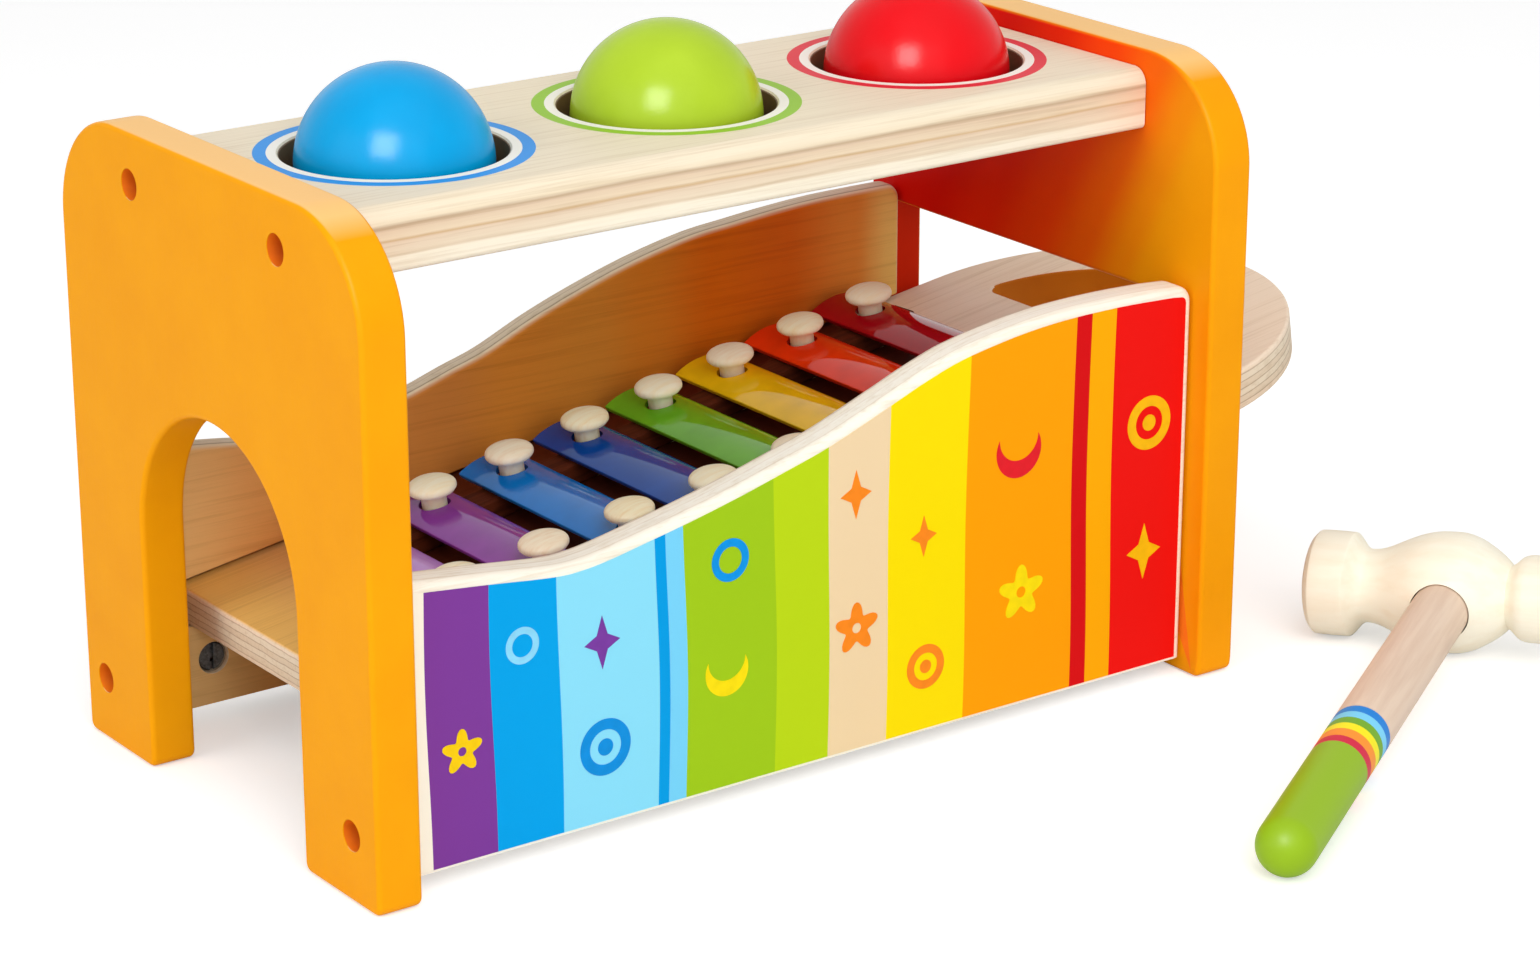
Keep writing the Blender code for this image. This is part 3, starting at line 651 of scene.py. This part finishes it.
for side, shares, plies, side_thickness, front_face, nut_end, sheen in (
    ("front", front_sweep, front_plies, front_thickness, print_face, -0.00705, 0.2),
    ("rear", rear_sweep, rear_plies, rear_thickness, rear_face, -0.0059, 0.1),
):
    side_wood, shader, place, wood = plywood(
        side + "_plywood", (0, 1, 0), front_face, side_thickness, plies, 0.0, 800.0, 0.55, sheen,
    )
    # The rear panel's inner face is tinted orange to red along the bench: painted shade and painted orange
    # bounce light under the plate.
    if side == "rear":
        painted_shade_colour = tint_face(place, wood, (0, -1, 0), whole_bench, (
            (0.06, (1.0, 0.80, 0.45)), (0.20, (0.95, 0.50, 0.19)), (0.38, (0.79, 0.34, 0.09)),
            (0.46, (0.88, 0.37, 0.064)), (0.56, (0.84, 0.37, 0.064)), (0.63, (0.84, 0.31, 0.036)),
            (0.71, (0.86, 0.22, 0.010)), (0.80, (0.84, 0.20, 0.014)), (0.89, (0.92, 0.37, 0.07)),
            (0.94, (1.0, 0.76, 0.28)),
        ), onset=0.6)
        set_colour(shader, painted_shade_colour)
    outline = swept_outline(swept_line(shares), 0.0, side_foot, 0.003, 0.004)
    stood_up = [[(inner_start + run, front_face, rise) for run, rise in outline]]
    side_panel = make_slab(side + "_side_board", stood_up, (0, side_thickness, 0))
    round_edges(side_panel, lambda e: sharp_edge(e) and max(v.co.z for v in e.verts) > side_foot + 0.0002
                and abs(e.verts[0].co.y - e.verts[1].co.y) < 0.001, 0.002, 5)
    end_piece(side_panel, 40)
    inward = 1 if side == "front" else -1
    inner_face = front_face + side_thickness if side == "front" else front_face
    groove_radius = (board_thickness + groove_headroom + joint_gap) / 2
    groove_middle = (groove_headroom - board_thickness - joint_gap) / 2
    run_start = board_start - joint_gap + math.sqrt(groove_radius ** 2 - (groove_radius - joint_gap) ** 2)
    groove_outline = (
        arc((run_start, groove_middle), groove_radius, 90, 270, 16)
        + [(0.26, groove_middle - groove_radius), (0.26, groove_middle + groove_radius)]
    )
    groove_sides = [[(run, -groove_depth, rise) for run, rise in groove_outline]]
    groove_tool = make_slab("groove_tool", groove_sides, (0, 2 * groove_depth, 0))
    end_piece(groove_tool, 40)
    groove_tool.data.transform(tray @ Matrix.Translation((0, inner_face - tray_y, 0)))
    cut_away(side_panel, groove_tool)
    for nut_x in nut_rows:
        drill(side_panel, (
            (0, 0.002), (0.0052, 0.002), (nut_hole_radius, -0.0003), (nut_hole_radius, nut_end), (0, nut_end),
        ), (nut_x, inner_face, lower_bolt_height), (0, inward, 0), 32)
    end_piece(side_panel, 40, side_wood)
    even_shading(side_panel)
    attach(side_panel, "bench")
    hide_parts(side + "_panel")

# Printed stripes: a thin ink layer on the front board's outer face, with a bare margin along its edges.
# The stripes run from purple to red, and small plain figures in ink stand on them.
print_margin = 0.0023
print_depth = 0.00012
stripes = (
    (0.0, (0.93, 0.88, 0.74)), (16.2, (0.20, 0.044, 0.31)), (32.6, (0.0, 0.35, 0.78)),
    (49.2, (0.245, 0.70, 0.90)), (74.2, (0.0, 0.32, 0.74)), (77.6, (0.18, 0.62, 0.90)),
    (82.2, (0.34, 0.56, 0.010)), (106.4, (0.48, 0.66, 0.008)), (121.3, (0.84, 0.64, 0.39)),
    (138.1, (0.93, 0.72, 0.0)), (161.2, (0.96, 0.345, 0.0)), (192.9, (0.66, 0.004, 0.006)),
    (197.2, (0.96, 0.40, 0.0)), (204.9, (0.83, 0.006, 0.004)),
)
stripe_ink, shader, place = new_material("stripe_ink", 0.45, 0.05)
across = add_node(place, "SeparateXYZ", place).outputs["X"]
bent = calculate("MULTIPLY_ADD", noise(place, 14.0, 0.0), 0.004, across)
share = calculate("MULTIPLY_ADD", bent, 1 / bench_length, (-bench_x - 0.002) / bench_length)
stops = [(start / 240.0, colour) for start, colour in stripes]
set_colour(shader, colour_ramp(share, stops, "CONSTANT"))
add_bump(shader, noise(stretch(place, (20.0, 900.0, 900.0)), 1.0, 3.0), 0.15, 0.0002)

outline = swept_outline(swept_line(front_sweep), print_margin, side_foot + 0.0006, 0.0008, 0.0015)
stood_up = [[(inner_start + run, print_face - print_depth, rise) for run, rise in outline]]
printed = make_slab("printed_stripes", stood_up, (0, 2 * print_depth, 0))
end_piece(printed, 40, stripe_ink)
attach(printed, "bench")


def flower(size):
    """A round flower with five petals."""
    points = []
    for turn in range(0, 360, 6):
        angle = radians(turn + 90)
        reach = size * (0.76 + 0.24 * cos(5 * radians(turn)))
        points.append((reach * cos(angle), reach * sin(angle)))
    return [points, arc((0, 0), 0.2 * size, 0, 345, 23)]


def diamond(size):
    """A tall diamond with hollow sides."""
    points = []
    for turn in (0, 90, 180, 270):
        angle, between = radians(turn), radians(turn + 45)
        points.append((0.75 * size * cos(angle), size * sin(angle)))
        points.append((0.32 * size * cos(between), 0.40 * size * sin(between)))
    return [points]


def hoop(size):
    """A plain hoop."""
    return [arc((0, 0), size, 0, 352.5, 47), arc((0, 0), 0.62 * size, 0, 352.5, 47)]


def target_rings(size):
    """A hoop round a dot."""
    return hoop(size) + [arc((0, 0), 0.3 * size, 0, 345, 23)]


def crescent(size):
    """A lying crescent."""
    return [arc((0, 0), size, 150, 390, 30) + arc((0, 0.5 * size), 0.866 * size, 0, -180, 24)[1:-1]]


figure_stand = 0.00022
figure_depth = 0.0002
figures = (
    ("yellow_flower_low", flower, 0.0052, 25.0, 30.0, (0.96, 0.62, 0.00)),
    ("white_blue_hoop", hoop, 0.0042, 40.6, 50.5, (0.26, 0.68, 0.93)),
    ("blue_rings", target_rings, 0.0066, 61.5, 22.0, (0.00, 0.27, 0.72)),
    ("purple_diamond", diamond, 0.0062, 61.0, 46.5, (0.185, 0.04, 0.34)),
    ("yellow_crescent", crescent, 0.0058, 94.0, 32.0, (0.96, 0.74, 0.00)),
    ("blue_hoop", hoop, 0.0050, 95.0, 58.0, (0.00, 0.30, 0.80)),
    ("orange_diamond_tall", diamond, 0.0058, 129.6, 66.0, (0.96, 0.25, 0.01)),
    ("orange_flower", flower, 0.0062, 130.0, 34.0, (0.96, 0.25, 0.01)),
    ("orange_diamond", diamond, 0.0050, 149.0, 52.0, (0.96, 0.25, 0.01)),
    ("orange_rings", target_rings, 0.0054, 150.0, 20.0, (0.96, 0.25, 0.01)),
    ("red_crescent", crescent, 0.0066, 176.5, 67.0, (0.78, 0.01, 0.02)),
    ("yellow_flower_high", flower, 0.0068, 178.0, 32.0, (0.96, 0.74, 0.00)),
    ("yellow_rings", target_rings, 0.0066, 216.0, 66.0, (0.96, 0.50, 0.00)),
    ("yellow_diamond", diamond, 0.0070, 215.5, 34.0, (0.96, 0.50, 0.00)),
)
for name, shape, size, run, rise, colour in figures:
    outlines = [
        [(bench_x + run / 1000 + u, print_face - figure_stand, rise / 1000 + v) for u, v in loop]
        for loop in shape(size)
    ]
    figure = make_slab("figure_" + name, outlines, (0, figure_depth, 0))
    tones = ((0.3, tuple(0.9 * c for c in colour)), (0.7, colour))
    end_piece(figure, 40, mottled("ink_" + name, 0.4, 0.12, 400.0, 2.0, tones, (0.1, 0.0001)))
    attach(figure, "bench")

# Xylophone board: a plywood tongue that slides in the side panels' grooves and out through the window.
# It ends in a half round with a finger hole, cut as one outline, thickened and softened along its edges.
# It is drawn flat and then tilted to the ramp.
board_half_width = 0.05425
board_arc_centre = 0.24560
finger_radius = 0.03815
finger_corner = 0.0041
board_plies = (
    (0.00, (0.80, 0.64, 0.48)), (0.15, (0.80, 0.64, 0.48)), (0.17, (0.45, 0.31, 0.19)),
    (0.19, (0.74, 0.60, 0.44)), (0.32, (0.78, 0.64, 0.48)), (0.34, (0.45, 0.31, 0.19)),
    (0.36, (0.82, 0.70, 0.54)), (0.49, (0.82, 0.70, 0.54)), (0.51, (0.45, 0.31, 0.19)),
    (0.53, (0.76, 0.62, 0.46)), (0.66, (0.78, 0.64, 0.48)), (0.68, (0.45, 0.31, 0.19)),
    (0.70, (0.84, 0.72, 0.56)), (0.84, (0.84, 0.72, 0.56)), (0.86, (0.55, 0.40, 0.27)),
    (0.89, (0.92, 0.76, 0.60)), (1.00, (0.92, 0.76, 0.60)),
)
up_ramp = (-sin(ramp_angle), 0, cos(ramp_angle))
ramp_point = Vector((bench_x, tray_y, ramp_height))
board_level = ramp_point.dot(Vector(up_ramp)) - board_thickness
board_wood, shader, place, wood = plywood(
    "board_plywood", up_ramp, board_level, board_thickness, board_plies, ramp_angle, 800.0, 0.5, 0.1,
)
# The board's top is tinted orange at the left end and nearly black under the keys: painted orange bounce light
# and painted shadow of the keys.
painted_shade_colour = tint_face(place, wood, up_ramp, whole_bench, (
    (0.10, (1.0, 0.74, 0.26)), (0.19, (1.0, 0.68, 0.32)), (0.24, (0.15, 0.036, 0.016)),
    (0.882, (0.15, 0.030, 0.014)), (0.905, (1.0, 0.98, 0.94)), (0.95, (1.0, 1.0, 1.0)),
))
set_colour(shader, painted_shade_colour)
golden_wood = satin_paint("finger_hole_wall", (0.60, 0.19, 0.010), (0.52, 0.15, 0.006), 0.5, 0.1)[0]
shift = 0.0032 + finger_corner
corner_y = math.sqrt((finger_radius - finger_corner) ** 2 - shift ** 2)
corner_turn = math.degrees(math.atan2(corner_y, shift))
corner_x = board_arc_centre + shift
board_outline = (
    [(board_start, board_half_width), (board_start, -board_half_width)]
    + arc((board_arc_centre, 0.0), board_half_width, -90, 90, 80)
)
finger_outline = (
    arc((board_arc_centre, 0.0), finger_radius, -corner_turn, corner_turn, 48)
    + arc((corner_x, corner_y), finger_corner, corner_turn, 180, 10)[1:]
    + arc((corner_x, -corner_y), finger_corner, 180, 360 - corner_turn, 10)[:-1]
)
board = make_slab("sliding_board", [
    [(run, reach, -board_thickness) for run, reach in loop] for loop in (board_outline, finger_outline)
], (0, 0, board_thickness))
round_edges(board, lambda e: sharp_edge(e) and abs(e.verts[0].co.z - e.verts[1].co.z) < 0.001, 0.0008, 4)
end_piece(board, 40, board_wood, golden_wood)
board.data.transform(tray)
even_shading(board)
for face in board.data.polygons:
    on_tray = tray.inverted() @ face.center
    from_arc = math.hypot(on_tray.x - board_arc_centre, on_tray.y)
    if from_arc < finger_radius + 0.0002 and abs(face.normal.z) < 0.6:
        face.material_index = 1
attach(board, "xylophone")
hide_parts("xylophone_board")

# Key rails: two beech strips glued on the board under the ends of the keys, mostly hidden.
# They spread apart with the key lengths and each takes one row of pegs.
key_first = 0.05063
key_pitch = 0.022535
key_row = 7 * key_pitch
peg_first = 0.0221
peg_step = 0.0014214
rail_top = 0.006


def turned_wood(name, pale, deep, own_frame, fibres, roughness, sheen=0.2):
    """Fine straight grain along a piece's own axis, with short pores, under a thin clear lacquer."""
    material, shader, place = new_material(name, roughness, sheen)
    fibre = noise(stretch(place, [1 / count for count in fibres], **own_frame), 1.0, 4.0, 0.6)
    tint = colour_ramp(fibre, ((0.32, deep), (0.58, pale), (0.80, pale)))
    set_colour(shader, tint)
    add_bump(shader, fibre, 0.15, 0.0002)
    return material, shader, place, tint


tray_frame = {"Location": ramp_point, "Rotation": (0, -ramp_angle, 0)}
# The rails are coloured nearly black rather than pale beech: painted shade under the keys.
rail_painted_shade = turned_wood(
    "rail_beech_painted_shade", (0.11, 0.022, 0.008), (0.06, 0.012, 0.005), tray_frame, (40.0, 900.0, 900.0), 0.6, 0.03,
)[0]
rail_section = (
    (-0.0034, joint_gap), (0.0034, joint_gap), (0.004, 0.0009), (0.004, 0.0054), (0.0034, rail_top),
    (-0.0034, rail_top), (-0.004, 0.0054), (-0.004, 0.0009),
)
half_rail = key_row / 2 + 0.011
for side, toward in (("front", -1), ("rear", 1)):
    section = [[(-half_rail, across, up) for across, up in rail_section]]
    rail = make_slab(side + "_rail_strip", section, (2 * half_rail, 0, 0))
    end_piece(rail, 30, rail_painted_shade)
    rail_middle = (key_first + key_row / 2, toward * (peg_first + 3.5 * peg_step), 0)
    spread_angle = toward * math.atan2(7 * peg_step, key_row)
    rail.data.transform(tray @ Matrix.Translation(rail_middle) @ Matrix.Rotation(spread_angle, 4, "Z"))
    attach(rail, "xylophone")
    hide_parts(side + "_key_rail")

# Keys: arched bars of enamelled metal, each longer than the one before, resting on the rails.
# One bar is spun from a straight line, given its wall and eased edges and drilled near both ends.
# The others are copies with their holes and ends pulled outward.
key_width = 0.016
key_crown = 0.0178
key_metal = 0.0016
key_half = 0.0325
key_step = 0.00205
key_hole = 0.0038
key_lean = math.asin(key_width / 2 / key_crown)
key_z = rail_top + joint_gap - (key_crown - key_metal) * cos(key_lean)
key_crest = key_z + key_crown
key_finishes = (
    ("violet", (0.50, 0.23, 0.66)), ("purple", (0.27, 0.050, 0.38)), ("sky", (0.001, 0.20, 0.68)),
    ("blue", (0.001, 0.070, 0.40)), ("green", (0.16, 0.50, 0.018)), ("yellow", (1.0, 0.62, 0.006)),
    ("red", (0.96, 0.045, 0.004)), ("crimson", (0.43, 0.002, 0.010)),
)


def enamel(name, colour):
    """Glossy baked enamel: an even colour with a little depth, under a hard coat that ripples slightly."""
    material, shader, place = new_material(name, 0.30, 0.0)
    for entry, value in (("Coat Weight", 1.0), ("Coat Roughness", 0.04), ("Coat IOR", 1.36)):
        wire(value, shader.inputs[entry])
    tones = ((0.35, tuple(0.88 * c for c in colour)), (0.65, colour))
    set_colour(shader, colour_ramp(noise(place, 120.0, 2.0), tones))
    add_bump(shader, noise(place, 260.0, 1.0), 0.06, 0.0003)
    return material


def copy_piece(pattern, name):
    """A copy of a piece, under its own name."""
    activate(pattern)
    bpy.ops.object.duplicate(linked=False)
    copied = bpy.context.object
    copied.name = name
    return copied


first_key = begin_piece("key_bar_1")
edge_x = -key_crown * sin(key_lean)
edge_z = key_z + key_crown * cos(key_lean)
draw_line(first_key, [(edge_x, reach, edge_z) for reach in (-key_half, 0, key_half)])
bpy.ops.mesh.spin(steps=20, angle=-2 * key_lean, center=(0, 0, key_z), axis=(0, 1, 0))
select_all()
bpy.ops.mesh.remove_doubles(threshold=same_point)
bpy.ops.object.mode_set(mode="OBJECT")
if sum(face.normal.z for face in first_key.data.polygons) < 0:
    first_key.data.flip_normals()
apply_modifier(first_key, "SOLIDIFY", thickness=key_metal, offset=-1.0)
bpy.ops.object.mode_set(mode="EDIT")
round_edges(first_key, sharp_edge, 0.0003, 3)
end_piece(first_key, 35)
for toward in (-1, 1):
    drill(first_key, pin(key_hole, 0.004, -0.006), (0, toward * peg_first, key_crest), upright, 32)
end_piece(first_key, 35)
key_bars = [first_key]
for i in range(1, 8):
    key_bar = copy_piece(first_key, "key_bar_" + str(i + 1))
    bpy.ops.object.mode_set(mode="EDIT")
    for toward in (-1, 1):
        for beyond, pull in (
            (peg_first - key_hole - 0.001, i * peg_step),
            (key_half + i * peg_step - 0.0015, i * (key_step - peg_step)),
        ):
            choose(key_bar, "VERT", lambda v: toward * v.co.y > beyond)
            bpy.ops.transform.translate(value=(0, toward * pull, 0))
    bpy.ops.object.mode_set(mode="OBJECT")
    key_bars.append(key_bar)
for i, (key_bar, (finish, colour)) in enumerate(zip(key_bars, key_finishes)):
    key_bar.data.transform(tray @ Matrix.Translation((key_first + i * key_pitch, 0, 0)))
    even_shading(key_bar)
    key_bar.data.materials.append(enamel(finish + "_enamel", colour))
    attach(key_bar, "xylophone")
    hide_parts("key_" + str(i + 1) + "_" + finish)

# Pegs: turned wooden mushrooms driven through the keys and rails into the board, two to a key.
# The heads stop the keys from jumping off, with a little room for them to ring.
# One peg is turned and copied to sixteen places in three natural tones.
peg_under = key_crest + 0.0030
peg_top = peg_under + 0.0032
peg_rim = peg_under + 0.0010
peg_reach = 0.00585
peg_shank = 0.0030
peg_profile = (
    [(0.0, peg_top)]
    + [(peg_reach * sin(radians(a)), peg_rim + (peg_top - peg_rim) * cos(radians(a)) ** 0.8)
       for a in range(8, 88, 8)]
    + [(peg_reach, peg_rim), (0.00578, peg_rim - 0.0004), (0.0053, peg_under), (0.0034, peg_under),
       (peg_shank, peg_under - 0.0004), (peg_shank, -0.0050), (0.0026, -0.0057), (0.0, -0.0057)]
)
peg_woods = [
    turned_wood("peg_wood_" + tone, pale, deep, tray_frame, (120.0, 900.0, 300.0), 0.45)[0]
    for tone, pale, deep in (
        ("cream", (1.00, 0.94, 0.72), (0.96, 0.84, 0.56)), ("honey", (1.00, 0.92, 0.66), (0.94, 0.78, 0.48)),
        ("rose", (1.00, 0.90, 0.70), (0.93, 0.76, 0.54)),
    )
]
first_peg = lathe("peg_pattern", peg_profile, (0, 0, 0), upright, 40)
end_piece(first_peg, 50)
for side, toward in (("front", -1), ("rear", 1)):
    for i in range(8):
        peg = copy_piece(first_peg, side + "_peg_" + str(i + 1))
        peg_place = (key_first + i * key_pitch, toward * (peg_first + i * peg_step), 0)
        peg.data.transform(tray @ Matrix.Translation(peg_place))
        peg.data.materials.append(peg_woods[(2 * i + (side == "rear")) % 3])
        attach(peg, "xylophone")
        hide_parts("peg_" + side + "_" + str(i + 1))
bpy.data.objects.remove(first_peg)

# Balls: three wooden balls turned on a lathe, with a tiny flat left at each end, and dipped in bright paint.
# They sit in the plate's rubber rings until the mallet drives them down onto the keys.
ball_paints = (
    ("blue", (0.000, 0.370, 0.76), (0.000, 0.330, 0.70), (0.5, 0.6, 0.6)),
    ("lime", (0.450, 0.640, 0.030), (0.400, 0.580, 0.025), (0.7, 0.5, 0.5)),
    ("red", (0.820, 0.004, 0.010), (0.760, 0.003, 0.007), (0.4, 0.8, 0.5)),
)
half_turn = [(height, radius) for radius, height in arc((0.0, 0.0), ball_radius, 3.0, 177.0, 60)]
ball_profile = [(0.0, half_turn[0][1])] + half_turn + [(0.0, half_turn[-1][1])]
for ball_name, ball_x, (paint_name, colour, deeper, lean) in zip(ball_names, ball_places, ball_paints):
    ball = lathe(ball_name + "_turned_ball", ball_profile, (ball_x, centre_y, ball_z), lean, 96)
    end_piece(ball, 60, satin_paint(paint_name + "_ball_paint", colour, deeper, 0.24, 0.13)[0])
    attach(ball, ball_name + "_ball")
    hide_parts(ball_name + "_ball")

# Bolts and barrel nuts: zinc plated bolts sunk in the end panels, each with a hexagon socket.
# They screw into barrel nuts set crosswise in the plate and the side panels.
# One bolt and one nut are turned and cut, then copied to eight places.
bolt_recess = 0.0050
head_floor = -bolt_recess - 0.0032
nut_radius = 0.0035
half_nut = 0.00225
zinc = mottled(
    "zinc_plate", 0.38, 0.5, 1500.0, 2.0, ((0.3, (0.10, 0.10, 0.10)), (0.7, (0.22, 0.22, 0.22))), (0.1, 0.0001),
)
wire(1.0, zinc.node_tree.nodes["Principled BSDF"].inputs["Metallic"])
first_bolt = lathe("bolt_pattern", (
    (0, -bolt_recess), (0.0031, -bolt_recess), (0.0034, -bolt_recess - 0.0003), (0.0034, head_floor),
    (0.0018, head_floor), (0.0018, -0.0293), (0.0015, -0.0296), (0, -0.0296),
), (0, 0, 0), upright, 32)
drill(first_bolt, pin(0.0017, 0.002, -0.0018), (0, 0, -bolt_recess), upright, 6)
end_piece(first_bolt, 35, zinc)
first_nut = lathe("nut_pattern", (
    (0, half_nut), (nut_radius - 0.0003, half_nut), (nut_radius, half_nut - 0.0003),
    (nut_radius, 0.0003 - half_nut), (nut_radius - 0.0003, -half_nut), (0, -half_nut),
), (0, 0, 0), upright, 32)
corners = ((-0.0005, -0.005), (0.0005, -0.005), (0.0005, 0.005), (-0.0005, 0.005))
cross = make_slab("screwdriver_slot", [[(u, v, half_nut - 0.001) for u, v in corners]], (0, 0, 0.002))
end_piece(cross, 35)
cut_away(first_nut, cross)
drill(first_nut, pin(0.0021, 0.006, -0.006), (0, 0, 0), (1, 0, 0), 24)
end_piece(first_nut, 35, zinc)
nut_facings = ((0, 0, -1), (0, 0, -1), (0, 1, 0), (0, -1, 0))
for end, face_x, outward in (("left", bench_x, -1), ("right", bench_x + bench_length, 1)):
    for (place_name, bolt_y, bolt_z), nut_facing in zip(bolt_places, nut_facings):
        for pattern, kind, spot, axis in (
            (first_bolt, "bolt", (face_x, bolt_y, bolt_z), (outward, 0, 0)),
            (first_nut, "nut", (face_x - outward * nut_inset, bolt_y, bolt_z), nut_facing),
        ):
            fitting = copy_piece(pattern, "zinc_" + kind + "_" + end + "_" + place_name)
            fitting.data.transform(stand(spot, axis))
            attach(fitting, "bench")
            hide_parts(kind + "_" + end + "_" + place_name)
bpy.data.objects.remove(first_bolt)
bpy.data.objects.remove(first_nut)

# Mallet: a turned head of pale wood with a broad face, a round bulge and a small tail, on a round handle.
# The handle is glued in a socket in the bulge. Six painted bands and a dipped lime tip finish it.
# Both pieces are turned upright and then laid on the floor as in the photograph.
mallet_spot = (bench_x + 0.2921, bench_y - 0.0215, 0.0148285)
mallet_turn = Euler((radians(3.493), radians(3.134), radians(211.0)))
mallet_pose = Matrix.Translation(mallet_spot) @ mallet_turn.to_matrix().to_4x4()
tail_points = (
    (0.0, 31.8), (3.5, 31.6), (7.0, 31.2), (9.4, 30.5), (10.3, 29.5), (10.7, 28.0), (10.7, 20.5), (10.54, 18.6),
    (9.92, 17.2), (8.60, 15.8), (7.75, 14.6),
)
body_points = (
    (7.75, 14.6), (9.80, 12.5), (11.6, 10.0), (13.6, 6.5), (14.7, 3.0), (14.85, 0.0), (14.6, -4.0),
    (13.6, -8.0), (11.88, -12.0), (10.19, -15.5), (9.37, -18.0), (9.10, -20.0), (9.19, -21.0),
    (9.92, -22.2), (11.35, -23.4), (12.51, -24.4), (12.9, -25.6), (12.9, -32.4), (12.38, -33.6),
    (11.2, -34.6), (8.77, -35.4), (6.06, -36.1), (2.97, -36.7), (0.0, -37.0),
)
smooth_head = smooth_line(tail_points, 4) + smooth_line(body_points, 4)
head_profile = [(max(spot.x, 0.0) / 1000, spot.y / 1000) for spot in smooth_head] + [(0.0, -0.037)]
mallet_frame = {"Location": mallet_spot, "Rotation": mallet_turn}
head_wood = turned_wood(
    "mallet_head_wood", (0.99, 0.94, 0.78), (0.96, 0.88, 0.70), mallet_frame, (260.0, 45.0, 260.0), 0.45,
)[0]
head = lathe("mallet_turned_head", head_profile, (0, 0, 0), (0, 1, 0), 72)
handle_radius = 0.0070
drill(head, pin(handle_radius + joint_gap, 0.020, -0.0023), (0, 0, 0), (1, 0, 0), 48)
end_piece(head, 40, head_wood)
head.data.transform(mallet_pose)
even_shading(head)
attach(head, "mallet")
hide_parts("mallet_head")

band_scale = 160.0
first_band = 84.5
handle_bands = (
    (0.0, (0.74, 0.56, 0.43)), (first_band, (0.000, 0.22, 0.70)), (87.7, (0.20, 0.66, 0.95)),
    (91.0, (0.17, 0.40, 0.01)), (94.2, (0.95, 0.84, 0.00)), (97.5, (0.96, 0.30, 0.02)),
    (100.7, (0.66, 0.008, 0.05)), (104.0, (0.29, 0.48, 0.010)),
)
handle_wood, shader, place, bare = turned_wood(
    "mallet_handle_wood", (0.80, 0.62, 0.48), (0.72, 0.53, 0.40), mallet_frame, (25.0, 420.0, 420.0), 0.42,
)
inside = stretch(place, (1, 1, 1), **mallet_frame)
run = add_node(place, "SeparateXYZ", inside).outputs["X"]
down_handle = calculate("MULTIPLY", run, 1000 / band_scale)
stops = [(reach / band_scale, colour) for reach, colour in handle_bands]
bands = colour_ramp(down_handle, stops, "CONSTANT")
dipped = calculate("GREATER_THAN", down_handle, first_band / band_scale)
set_colour(shader, mix_colour(dipped, bare, bands))
handle_profile = arc((0.0, 0.1436), handle_radius, 90, 0, 16) + [
    (handle_radius, 0.06), (handle_radius, -0.0014), (handle_radius - 0.0006, -0.002), (0.0, -0.002),
]
handle = lathe("mallet_turned_handle", handle_profile, (0, 0, 0), (1, 0, 0), 48)
end_piece(handle, 40, handle_wood)
handle.data.transform(mallet_pose)
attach(handle, "mallet")
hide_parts("mallet_handle")

# Floor and light: a plain pale table under a broad overhead softbox, with softer ones at the left and front
# and a near one that shows only as a highlight. The white round the bench is the floor's and the world's own
# colour, seen by the camera and in reflections.
bpy.ops.mesh.primitive_plane_add(size=12.0, location=(0, 0, -0.0002))
floor = bpy.context.object
floor.name = "pale_table"
table_white, shader, place = new_material("table_white", 0.9, 0.1)
set_colour(shader, (0.86, 0.86, 0.86, 1.0))
wire((1, 1, 1, 1), shader.inputs["Emission Color"])
seen = add_node(place, "LightPath").outputs
wire(calculate("MULTIPLY", seen["Is Camera Ray"], 0.42), shader.inputs["Emission Strength"])
floor.data.materials.append(table_white)

world = bpy.data.worlds.new("white_studio")
bpy.context.scene.world = world
world.use_nodes = True
sky = world.node_tree.nodes["Background"]
wire((1, 1, 1, 1), sky.inputs["Color"])
seen = add_node(sky, "LightPath").outputs
whiter = calculate("MAXIMUM", seen["Is Camera Ray"], seen["Is Glossy Ray"])
wire(calculate("MULTIPLY_ADD", whiter, 0.56, 0.44), sky.inputs["Strength"])

for light_name, spot, aim, size, power, part in (
    ("overhead_softbox", (-0.15, -0.50, 1.15), (0, 0, 0.05), 1.2, 5.3, "diffuse"),
    ("left_softbox", (-1.30, 0.05, 0.55), (0, 0, 0.07), 0.9, 5.6, "diffuse"),
    ("front_softbox", (-0.38, -1.20, 0.72), (0, 0, 0.07), 0.9, 8.2, "diffuse"),
    ("near_softbox", (-0.60, -0.47, 0.62), (-0.04, 0.03, 0.12), 0.40, 13.0, "glossy"),
):
    bpy.ops.object.light_add(type="AREA", location=spot)
    softbox = bpy.context.object
    softbox.name = light_name
    softbox.data.size = size
    softbox.data.energy = power
    softbox.visible_camera = False
    softbox.visible_glossy = part == "glossy"
    softbox.visible_diffuse = part == "diffuse"
    softbox.rotation_mode = "QUATERNION"
    softbox.rotation_quaternion = (Vector(aim) - Vector(spot)).to_track_quat("-Z", "Y")

# Camera: set where the photograph was taken from, slightly above and to the left, with a long lens.
# Its shift is only as large as the photograph's framing needs.
yaw, pitch, roll = radians(36.115), radians(19.103), radians(0.004)
picture_width = 1540
bpy.ops.object.camera_add()
camera = bpy.context.object
camera.name = "photo_camera"
camera.matrix_world = (
    Matrix.Translation((bench_x - 0.40034, bench_y - 0.68482, 0.37253)) @ Matrix.Rotation(-yaw, 4, "Z")
    @ Matrix.Rotation(radians(90) - pitch, 4, "X") @ Matrix.Rotation(roll, 4, "Z")
)
camera.data.lens = 4136.8 / picture_width * camera.data.sensor_width
camera.data.shift_x = 8.0 / picture_width
camera.data.shift_y = -3.5 / picture_width
bpy.context.scene.camera = camera

bpy.context.scene.view_settings.view_transform = "Standard"
